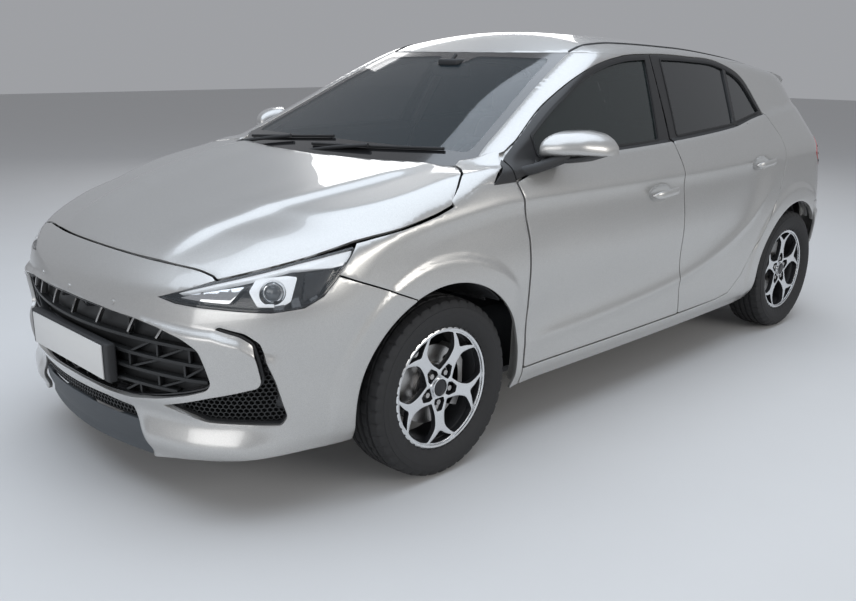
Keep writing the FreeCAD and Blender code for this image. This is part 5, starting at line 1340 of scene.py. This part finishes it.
eye = around(np.array([eye_u]), np.array([eye_z]), lift=-0.014, plain=True)[0]
eye_way = Vector((*rays(np.array([eye_u]))[1][0], 0.10)).normalized()
lamp_parts = []
for radius, depth, finish, shift in ((0.034, 0.022, chrome, -0.004), (0.025, 0.010, projector, 0.004)):
    ring_piece = turned("lamp_ring", [(-depth, radius), (0, radius), (0.004, radius * 0.94),
                                      (0.001, radius * 0.82), (0.006, radius * 0.5),
                                      (0.007, 0.0005)], finish, 40)
    ring_piece.data.transform(Matrix.Translation(Vector(eye) + eye_way * (shift - 0.006))
                              @ eye_way.to_track_quat("X", "Z").to_matrix().to_4x4())
    lamp_parts.append(ring_piece)
eye_piece = joined(lamp_parts, "headlamp_left_projector")
bezel_line = [(eye_u + a, eye_z + b, 0.006)
              for a, b in ((-0.060, 0.004), (-0.044, 0.036), (0.034, 0.044), (0.062, 0.040),
                           (0.046, -0.026), (0.020, -0.040), (-0.036, -0.038))]
bezel = panel("headlamp_left_bezel", at_depth(-0.016), loop(bezel_line, 0, 0.006), [lens_white],
              holes=[np.array(circle(eye_u, eye_z, 0.034, 0.006))], thick=0.012, bevel=0.002, spacing=0.008)
for part, slot in ((lens, "lamp"), (housing, "black_plastic"), (bar, "lamp"), (reflector, "lamp"),
                   (rim, "black_plastic"), (eye_piece, "lamp"), (bezel, "lamp"),
                   (block_piece, "black_plastic")):
    both_hands(part, "chassis", slot, *(("headlamps",) if part is lens else ()))


# Door mirrors: painted cap, high at its inner end and swept back to a point, on a black foot and arm
SPAN = np.linspace(0, 1, 28)
mirror_top = smooth_table([(0, 0.66), (0.06, 0.90), (0.20, 1.0), (0.46, 0.99), (0.74, 0.86), (0.92, 0.60),
                           (1, 0.34)], SPAN)
mirror_depth = smooth_table([(0, 0.66), (0.10, 0.92), (0.35, 1.0), (0.70, 0.88), (0.90, 0.66), (1, 0.38)], SPAN)


def mirror_part(name, finish, drop, height, scale):
    """Closed form of rings along the mirror, round in front and above, nearly flat behind and under."""
    points, m = [], 32
    for t, top, depth in zip(SPAN, mirror_top, mirror_depth):
        low_z = 1.040 + 0.012 * t + drop * (1 - step(0.5, 1.0, t))
        high_z = low_z + (0.094 * top if height is None else height * (1 - 0.6 * step(0.5, 1.0, t)))
        back, middle = -0.575 + 0.100 * t, low_z + 0.34 * (high_z - low_z)
        for k in range(m):
            c, s_ = math.cos(2 * math.pi * k / m), math.sin(2 * math.pi * k / m)
            y = back - 0.150 * depth * scale * abs(c) ** 0.85 if c > 0 else back + 0.006 * abs(c)
            z = middle + ((high_z - middle) * abs(s_) ** 0.85 if s_ > 0 else (low_z - middle) * abs(s_) ** 0.6)
            points.append((0.828 + (0.188 if height is None else 0.176) * t, y, z))
    obj = new_object(name, points, tube_faces(len(SPAN), m), [finish])
    smooth(obj, 55)
    return obj


cap = mirror_part("mirror_left_cap", paint, 0.0, None, 1.0)
shell = mirror_part("mirror_left_shell", black_plastic, -0.020, 0.030, 0.93)
back_faces = [(2 * k, 2 * k + 1, 2 * k + 3, 2 * k + 2) for k in range(len(SPAN) - 5)]
mirror_glass = new_object("mirror_left_glass",
                          [(0.828 + 0.188 * t, -0.575 + 0.100 * t + 0.008, 1.040 + 0.012 * t + 0.094 * top * f)
                           for t, top in zip(SPAN[2:-2], mirror_top[2:-2]) for f in (0.12, 0.86)], back_faces,
                          [chrome])
apply_modifier(mirror_glass, "SOLIDIFY", thickness=0.003, offset=0.0)
arm = swept("mirror_left_arm", [(0.812, -0.765, 1.000), (0.845, -0.738, 1.008), (0.875, -0.695, 1.026),
                                (0.915, -0.630, 1.052)], 0.019, black_plastic)
for part, slot in ((cap, "paint"), (shell, "black_plastic"), (mirror_glass, "steel"), (arm, "black_plastic")):
    both_hands(part, "door_front_{}", slot)

# Wheels
SPOKE_R = 0.2050


def turned_points(points, degrees):
    c, s_ = math.cos(math.radians(degrees)), math.sin(math.radians(degrees))
    return [(y * c - z * s_, y * s_ + z * c) for y, z in points]


def spoke_holes(first):
    """Openings of a five-spoke face: shields between the spokes, triangles at the forks, and lug pockets."""
    holes = []
    shield = [(0.0, 0.300, 0.03), (-0.20, 0.445, 0.12), (-0.318, 0.62, 0.14), (-0.300, 0.78, 0.08),
              (-0.262, 0.905, 0.035), (-0.13, 0.945, 0.05), (0.0, 0.952, 0.05), (0.13, 0.945, 0.05),
              (0.262, 0.905, 0.035), (0.300, 0.78, 0.08), (0.318, 0.62, 0.14), (0.20, 0.445, 0.12)]
    fork = [(0.0, 0.745, 0.05), (-0.115, 0.83, 0.05), (-0.262, 0.900, 0.012), (-0.14, 0.938, 0.03),
            (0.0, 0.950, 0.03), (0.14, 0.938, 0.03), (0.262, 0.900, 0.012), (0.115, 0.83, 0.05)]
    pocket = [(-0.105, 0.190, 0.02), (-0.120, 0.270, 0.02), (-0.055, 0.415, 0.02), (0.055, 0.415, 0.02),
              (0.120, 0.270, 0.02), (0.105, 0.190, 0.02)]
    for k in range(5):
        for shape, turn in ((shield, 36), (fork, 0), (pocket, 0)):
            angle = first - 90 + turn + 72 * k
            pts = [(*turned_points([(a, b)], angle)[0], r) for a, b, r in shape]
            holes.append(loop([(y * SPOKE_R, z * SPOKE_R, r * SPOKE_R) for y, z, r in pts], 0, 0.006))
    return holes


def wheel_face(a, b):
    """Dished face of the spokes, about the wheel's own middle."""
    r = np.hypot(a, b)
    dish = 0.071 - 0.010 * (1 - np.clip(r / 0.19, 0, 1) ** 2) - 0.004 * step(0.05, 0.03, r)
    return np.column_stack([dish, a, b])


def wheel(tag, axle, sign, first):
    """One wheel's rim, disc, nuts and tyre, at its place."""
    face = panel(f"rim_{tag}_spokes", wheel_face, np.array(circle(0, 0, 0.1985, 0.006)), [machined, dark_alloy],
                 holes=spoke_holes(first), thick=0, bevel=0, spacing=0.007, outward=(1, 0, 0))
    apply_modifier(face, "SOLIDIFY", thickness=0.020, offset=-1.0, material_offset=1, material_offset_rim=1)
    apply_modifier(face, "BEVEL", width=0.0012, segments=2, limit_method="ANGLE", angle_limit=math.radians(60))
    smooth(face, 40)
    barrel = turned(f"rim_{tag}_barrel", [(0.048, 0.1985), (0.0705, 0.1990), (0.0745, 0.2060), (0.0730, 0.2105),
                                         (0.064, 0.2085), (0.058, 0.199), (0.030, 0.192), (-0.060, 0.196),
                                         (-0.074, 0.209), (-0.078, 0.206), (-0.064, 0.190), (0.030, 0.185),
                                         (0.046, 0.190), (0.048, 0.1985)], dark_alloy, 96)
    lip = turned(f"rim_{tag}_lip", [(0.0706, 0.1986), (0.0768, 0.1996), (0.0786, 0.2060), (0.0765, 0.2108),
                                    (0.0700, 0.2118)], machined, 120)
    cap_piece = turned(f"rim_{tag}_cap", [(0.040, 0.031), (0.0635, 0.031), (0.0655, 0.0285), (0.0640, 0.026),
                                          (0.0665, 0.018), (0.0675, 0.0004)], dark_alloy, 48)
    ring_ = turned(f"rim_{tag}_cap_ring", [(0.058, 0.0345), (0.0668, 0.0340), (0.0672, 0.0300),
                                           (0.0640, 0.0295)], machined, 48)
    hub = turned(f"rim_{tag}_hub", [(0.020, 0.0005), (0.020, 0.074), (0.044, 0.070), (0.046, 0.060),
                                    (0.046, 0.0005)], dark_alloy, 48)
    nuts = []
    for k in range(5):
        y, z = turned_points([(0, 0.0545)], first - 90 + 72 * k)[0]
        nut = primitive("cylinder", "nut", [disc_steel], vertices=6, radius=0.0100, depth=0.016,
                        location=(0.0505, y, z), rotation=(0, math.radians(90), 0))
        nuts.append(settle(nut))
    disc = turned(f"rim_{tag}_disc", [(0.006, 0.062), (0.030, 0.064), (0.030, 0.078), (0.016, 0.080),
                                      (0.016, 0.138), (0.0, 0.139), (-0.008, 0.138), (-0.008, 0.075),
                                      (0.006, 0.062)], disc_steel, 72)
    pieces = [face, barrel, lip, cap_piece, ring_, hub, disc] + nuts
    rim_obj = joined(pieces, f"rim_{tag}_wheel")
    centre = Matrix.Translation((WHEEL_X * sign, axle, WHEEL_Z))
    rim_obj.data.transform(centre @ Matrix.Scale(sign, 4, Vector((1, 0, 0))))
    if sign < 0:
        rim_obj.data.flip_normals()
    place(rim_obj, f"wheel_{tag}", "alloy", f"rim_{tag}")
    # Tyre, with grooves round the tread and slots across its shoulders
    profile = [(-0.062, 0.2122), (-0.078, 0.2130), (-0.089, 0.224), (-0.0955, 0.245), (-0.0972, 0.262),
               (-0.0965, 0.263), (-0.0950, 0.280), (-0.0925, 0.281), (-0.0885, 0.294), (-0.080, 0.3035),
               (-0.062, 0.3080), (-0.052, 0.3090), (-0.0505, 0.3015), (-0.0415, 0.3015), (-0.040, 0.3098),
               (-0.020, 0.3103), (-0.0185, 0.3025), (-0.0095, 0.3025), (-0.008, 0.3105)]
    profile += [(-a, r) for a, r in profile[::-1]]
    steps = 210
    points, faces, m = [], [], len(profile)
    for k in range(steps):
        t = 2 * math.pi * k / steps
        for a, r in profile:
            cut = 0.0065 if k % 5 == 0 and 0.062 <= abs(a) <= 0.0885 else 0.0
            cut += 0.004 if k % 5 == 2 and 0.020 <= abs(a) <= 0.040 and r > 0.308 else 0.0
            wave = 0.0006 * (k % 2) if 0.092 < abs(a) < 0.0955 else 0.0
            points.append((a + math.copysign(wave, a), (r - cut) * math.cos(t), (r - cut) * math.sin(t)))
    for k in range(steps):
        a, b = m * k, m * ((k + 1) % steps)
        faces += [(a + i, b + i, b + i + 1, a + i + 1) for i in range(m - 1)]
    tyre = new_object(f"tyre_{tag}_rubber", points, faces, [rubber])
    face_outward(tyre)
    tyre.data.transform(Matrix.Translation((WHEEL_X * sign, axle, WHEEL_Z)))
    smooth(tyre, 28)
    place(tyre, f"wheel_{tag}", "tyre", f"tyre_{tag}")


for end, axle, first in (("front", FRONT_AXLE, 270), ("rear", REAR_AXLE, 90)):
    for hand, sign in HANDS:
        wheel(f"{end}_{hand}", axle, sign, first)


# Cabin
CUSHION_FILL, CUSHION_CROWN, CUSHION_CORNER = 0.7, 0.012, 0.035
SEAT_PIVOT, SEAT_LEAN = (0, 0.3485, 0.545), 20
BENCH_PIVOT, BENCH_LEAN = (0, 1.2785, 0.500), 22


def cushion(name, lo, hi, material, lean=0.0, pivot=(0, 0, 0), channels=0, axis=2):
    """Stuffed block: crowned faces, soft corners and sewn channels across it."""
    lo, hi = Vector(lo), Vector(hi)
    obj = primitive("cube", name, [material], size=2, location=(0, 0, 0))
    take(obj)
    bpy.ops.object.mode_set(mode="EDIT")
    bpy.ops.mesh.select_all(action="SELECT")
    bpy.ops.mesh.subdivide(number_cuts=15)
    bpy.ops.object.mode_set(mode="OBJECT")
    half = (hi - lo) / 2
    mid = (hi + lo) / 2
    v = np.array([tuple(q.co) for q in obj.data.vertices])
    h = np.array(half)
    p = v * h
    core = np.clip(p, -(h - CUSHION_CORNER), h - CUSHION_CORNER)
    out = p - core
    length = np.linalg.norm(out, axis=1)[:, None] + 1e-9
    p = core + out / length * np.minimum(length, CUSHION_CORNER)
    for up, a, b in ((2, 0, 1), (1, 0, 2), (0, 1, 2)):
        rise = (1 - v[:, a] ** 2) * (1 - v[:, b] ** 2)
        p[:, up] += np.sign(v[:, up]) * (np.abs(v[:, up]) > 0.99) * rise * CUSHION_CROWN
    if channels:
        phase = v[:, axis] * channels * math.pi
        face = 1 if axis == 2 else 2
        groove = np.exp(-(np.sin(phase) / 0.35) ** 2) * (np.abs(v[:, face]) > 0.9) * (np.abs(v[:, 0]) < 0.75)
        p[:, face] -= np.sign(v[:, face]) * groove * 0.006
    obj.data.vertices.foreach_set("co", (p + np.array(mid)).ravel())
    obj.data.update()
    if lean:
        obj.data.transform(Matrix.Translation(pivot) @ Matrix.Rotation(-math.radians(lean), 4, "X")
                           @ Matrix.Translation(-Vector(pivot)))
    apply_modifier(obj, "SUBSURF", levels=1, render_levels=1)
    smooth(obj, 70)
    place(obj, "chassis", "fabric")


for hand, sign in HANDS:
    x = 0.37 * sign
    cushion(f"seat_{hand}_cushion", (x - 0.185, -0.155, 0.425), (x + 0.185, 0.335, 0.545), fabric_centre,
            channels=3, axis=1)
    for n, off in (("inner", -1), ("outer", 1)):
        cx = x + off * 0.215
        cushion(f"seat_{hand}_cushion_{n}", (cx - 0.036, -0.150, 0.405), (cx + 0.036, 0.325, 0.568), fabric)
        cushion(f"seat_{hand}_back_{n}", (cx - 0.034, 0.285, 0.500), (cx + 0.034, 0.420, 0.985), fabric,
                lean=SEAT_LEAN, pivot=SEAT_PIVOT)
    cushion(f"seat_{hand}_back", (x - 0.185, 0.315, 0.500), (x + 0.185, 0.415, 1.100), fabric_centre,
            lean=SEAT_LEAN, pivot=SEAT_PIVOT, channels=4)
    cushion(f"seat_{hand}_head", (x - 0.125, 0.320, 1.150), (x + 0.125, 0.420, 1.320), fabric, lean=SEAT_LEAN,
            pivot=SEAT_PIVOT)
    frame_box = rounded_box(f"seat_{hand}_base", (x - 0.22, -0.10, 0.36), (x + 0.22, 0.30, 0.42), 0.02, trim)
    place(frame_box, "chassis", "trim", *(("front_seats",) if sign > 0 else ()))
    for k in (-1, 1):
        a = Vector((x + k * 0.055, 0.365, 1.085)) - Vector(SEAT_PIVOT)
        lean_turn = Matrix.Rotation(-math.radians(SEAT_LEAN), 4, "X")
        foot, head = (Vector(SEAT_PIVOT) + lean_turn @ (a + Vector((0, 0, rise))) for rise in (0, 0.09))
        place(swept(f"seat_{hand}_post_{'a' if k < 0 else 'b'}", [foot, (foot + head) / 2, head], 0.006,
                    chrome), "chassis", "steel")
cushion("bench_cushion", (-0.60, 0.830, 0.400), (0.60, 1.270, 0.540), fabric, channels=2, axis=1)
cushion("bench_back", (-0.59, 1.250, 0.500), (0.59, 1.350, 1.040), fabric, lean=BENCH_LEAN, pivot=BENCH_PIVOT,
        channels=4)
for n, x in enumerate((-0.34, 0.0, 0.34)):
    cushion(f"bench_head_{n}", (x - 0.11, 1.255, 1.050), (x + 0.11, 1.335, 1.170), fabric, lean=BENCH_LEAN,
            pivot=BENCH_PIVOT)
bench_base = rounded_box("bench_base", (-0.585, 0.84, 0.374), (0.585, 1.26, 0.410), 0.010, trim)
place(bench_base, "chassis", "trim", "rear_bench")

# Dashboard: crowned top, screens, vents, console, wheel and column
dash_profile = [(-0.870, 0.600), (-0.620, 0.590), (-0.585, 0.700), (-0.600, 0.860), (-0.615, 0.925),
                (-0.640, 0.960), (-0.720, 0.978), (-0.830, 0.980), (-0.878, 0.960)]
outline = loop(dash_profile, 0.03, 0.02)
points, cuts = [], np.linspace(-0.66, 0.66, 25)
for x in cuts:
    tuck = 0.05 * (abs(x) / 0.66) ** 4
    hood = 0.018 * math.exp(-((x - 0.37) / 0.17) ** 2)
    points += [(x, y + tuck * (y > -0.7), z + hood * (z > 0.9)) for y, z in outline]
dash = new_object("dashboard_body", points, tube_faces(len(cuts), len(outline)), [trim])
face_outward(dash)
smooth(dash, 40)
place(dash, "chassis", "trim", "dashboard")
cluster = rounded_box("cluster_screen", (0.255, -0.640, 0.945), (0.485, -0.628, 1.005), 0.004, screen_face)
centre_screen = rounded_box("centre_screen", (-0.125, -0.612, 0.880), (0.135, -0.598, 0.995), 0.005,
                            screen_face)
console = rounded_box("console", (-0.108, -0.760, 0.350), (0.108, 0.020, 0.560), 0.03, trim)
lever = rounded_box("gear_lever", (-0.025, -0.395, 0.555), (0.025, -0.330, 0.640), 0.018, leather)
stack = rounded_box("centre_stack", (-0.150, -0.640, 0.560), (0.150, -0.575, 0.760), 0.02, trim)
for part in (cluster, centre_screen, console, lever, stack):
    place(part, "chassis", "trim")
for n, (x, z) in enumerate(((-0.56, 0.84), (-0.20, 0.84), (0.20, 0.84), (0.56, 0.84))):
    place(rounded_box(f"dash_vent_{n}", (x - 0.06, -0.612, z - 0.025), (x + 0.06, -0.585, z + 0.025), 0.006,
                      black_gloss), "chassis", "trim")
tilt = Matrix.Translation((0.370, -0.4415, 0.900)) @ Matrix.Rotation(math.radians(-66), 4, "X")
grip_ring = primitive("torus", "steering_ring", [leather], major_radius=0.178, minor_radius=0.0145,
                      major_segments=64, minor_segments=14)
parts = [grip_ring]
for angle in (0, 180, 270):
    bar_ = primitive("cube", "spoke", [leather], size=1, location=(0.105 * math.cos(math.radians(angle)),
                                                                 0.105 * math.sin(math.radians(angle)), -0.008),
                     rotation=(0, 0, math.radians(angle)), scale=(0.13, 0.034, 0.014))
    parts.append(settle(bar_))
parts.append(settle(primitive("cylinder", "hub", [trim], radius=0.062, depth=0.045, vertices=32,
                              location=(0, 0, -0.01))))
parts.append(settle(primitive("cylinder", "column", [trim], radius=0.030, depth=0.20, vertices=24,
                              location=(0, 0, -0.12))))
steering = joined(parts, "steering_wheel_body")
steering.data.transform(tilt)
smooth(steering, 40)
place(steering, "chassis", "trim", "steering_wheel")
inner_mirror = rounded_box("inside_mirror", (-0.11, -0.285, 1.300), (0.11, -0.262, 1.356), 0.010, black_plastic)
stalk = swept("inside_mirror_stalk", [(0, -0.275, 1.350), (0, -0.270, 1.375), (0, -0.245, 1.392)], 0.008,
              black_plastic)
housing_top = rounded_box("screen_sensor", (-0.06, -0.300, 1.345), (0.06, -0.215, 1.375), 0.010, black_plastic)
for part in (inner_mirror, stalk, housing_top):
    place(part, "chassis", "black_plastic")

# Cowl and wipers
cowl_half = [(0.0, -1.030), (0.30, -1.012), (0.50, -0.975), (0.660, -0.935), (0.690, -0.905), (0.50, -0.925),
             (0.0, -0.975)]
cowl_line = loop(mirrored_line(cowl_half), 0.01)


def cowl_top(x, y):
    return np.column_stack([x, y, 1.000 - 0.012 * (x / 0.7) ** 2 + (y + 1.03) * 0.05])


cowl = panel("cowl_cover", cowl_top, cowl_line, [black_plastic], thick=0.008, outward=UPWARD)
place(cowl, "chassis", "black_plastic", "cowl")


def on_screen(x, z, lift):
    return ahead(np.array([x]), np.array([z]), inset=0.003)[0] + np.array([0, -lift, lift * 0.4])


for n, (x0, x1, z0, z1) in enumerate(((-0.10, 0.545, 1.040, 1.062), (-0.60, -0.04, 1.036, 1.070))):
    blade = [on_screen(x, z, 0.010) for x, z in zip(np.linspace(x0, x1, 14), np.linspace(z0, z1, 14))]
    pivot = np.array([x0 - 0.02, -0.985, 1.012])
    arm_path = [pivot, pivot * 0.4 + on_screen(x0 + 0.14, z0, 0.03) * 0.6,
                on_screen(x0 + 0.32, (z0 + z1) / 2, 0.022)]
    place(joined([swept(f"wiper_{n}_blade", blade, 0.006, seal), swept("arm", arm_path, 0.0075, black_plastic)],
                 f"wiper_{n}"), "chassis", "black_plastic")
wiper_path = behind(-np.linspace(0.0, 0.32, 7), np.linspace(1.064, 1.128, 7), 0.014)
rear_arm = swept("rear_wiper", [tuple(p) for p in wiper_path], 0.007, black_plastic)
place(rear_arm, "tailgate", "black_plastic")

# Stage, light and camera
deselect()
floor_material = material("stage_floor", (0.62, 0.62, 0.62), 0.9, tone=0.03, spread=0.0, bump=0)
bpy.ops.mesh.primitive_plane_add(size=60, location=(0, 0, -0.001))
floor = bpy.context.object
floor.name = "stage_floor"
floor.data.materials.append(floor_material)

world = bpy.data.worlds.new("studio")
bpy.context.scene.world = world
world.use_nodes = True
background = world.node_tree.nodes["Background"]
background.inputs["Color"].default_value = (0.93, 0.95, 1.0, 1)
background.inputs["Strength"].default_value = 0.37


def softbox(name, at, target, size, watts, color=(1, 1, 1)):
    light = bpy.data.lights.new(name, "AREA")
    light.shape = "RECTANGLE"
    light.size, light.size_y = size
    light.energy = watts
    light.color = color
    obj = bpy.data.objects.new(name, light)
    obj.location = at
    obj.rotation_euler = (Vector(target) - Vector(at)).to_track_quat("-Z", "Y").to_euler()
    bpy.context.scene.collection.objects.link(obj)


softbox("overhead", (0, -0.6, 5.0), (0, 0, 0), (6.5, 9.0), 310, (0.80, 0.89, 1.0))
softbox("left_side", (6.5, 0.5, 2.6), (0.5, 0, 0.7), (5.0, 1.6), 105, (1.0, 0.97, 0.92))
softbox("front", (2.0, -7.5, 2.2), (0, -1.5, 0.6), (7.0, 2.8), 120)
softbox("rear_right", (-5.5, 5.0, 3.4), (0, 0.5, 0.8), (4.0, 2.5), 90)

CAMERA_AT = (2.797, -3.1695, 1.385)
CAMERA_YAW, CAMERA_PITCH, CAMERA_ROLL = (math.radians(a) for a in (45.3357, 15.3369, 0.4768))
PHOTO_WIDTH, FOCAL_PIXELS, SENSOR = 856, 890.9, 36.0
camera_data = bpy.data.cameras.new("photo_camera")
camera_data.sensor_width = SENSOR
camera_data.lens = FOCAL_PIXELS / PHOTO_WIDTH * SENSOR
camera = bpy.data.objects.new("photo_camera", camera_data)
look = Vector((-math.sin(CAMERA_YAW) * math.cos(CAMERA_PITCH), math.cos(CAMERA_YAW) * math.cos(CAMERA_PITCH),
               -math.sin(CAMERA_PITCH)))
right = look.cross(Vector((0, 0, 1))).normalized()
up = right.cross(look)
right, up = (right * math.cos(CAMERA_ROLL) + up * math.sin(CAMERA_ROLL),
             up * math.cos(CAMERA_ROLL) - right * math.sin(CAMERA_ROLL))
camera.matrix_world = Matrix.Translation(CAMERA_AT) @ Matrix((right, up, -look)).transposed().to_4x4()
bpy.context.scene.collection.objects.link(camera)
bpy.context.scene.camera = camera
bpy.context.scene.view_settings.view_transform = "Standard"
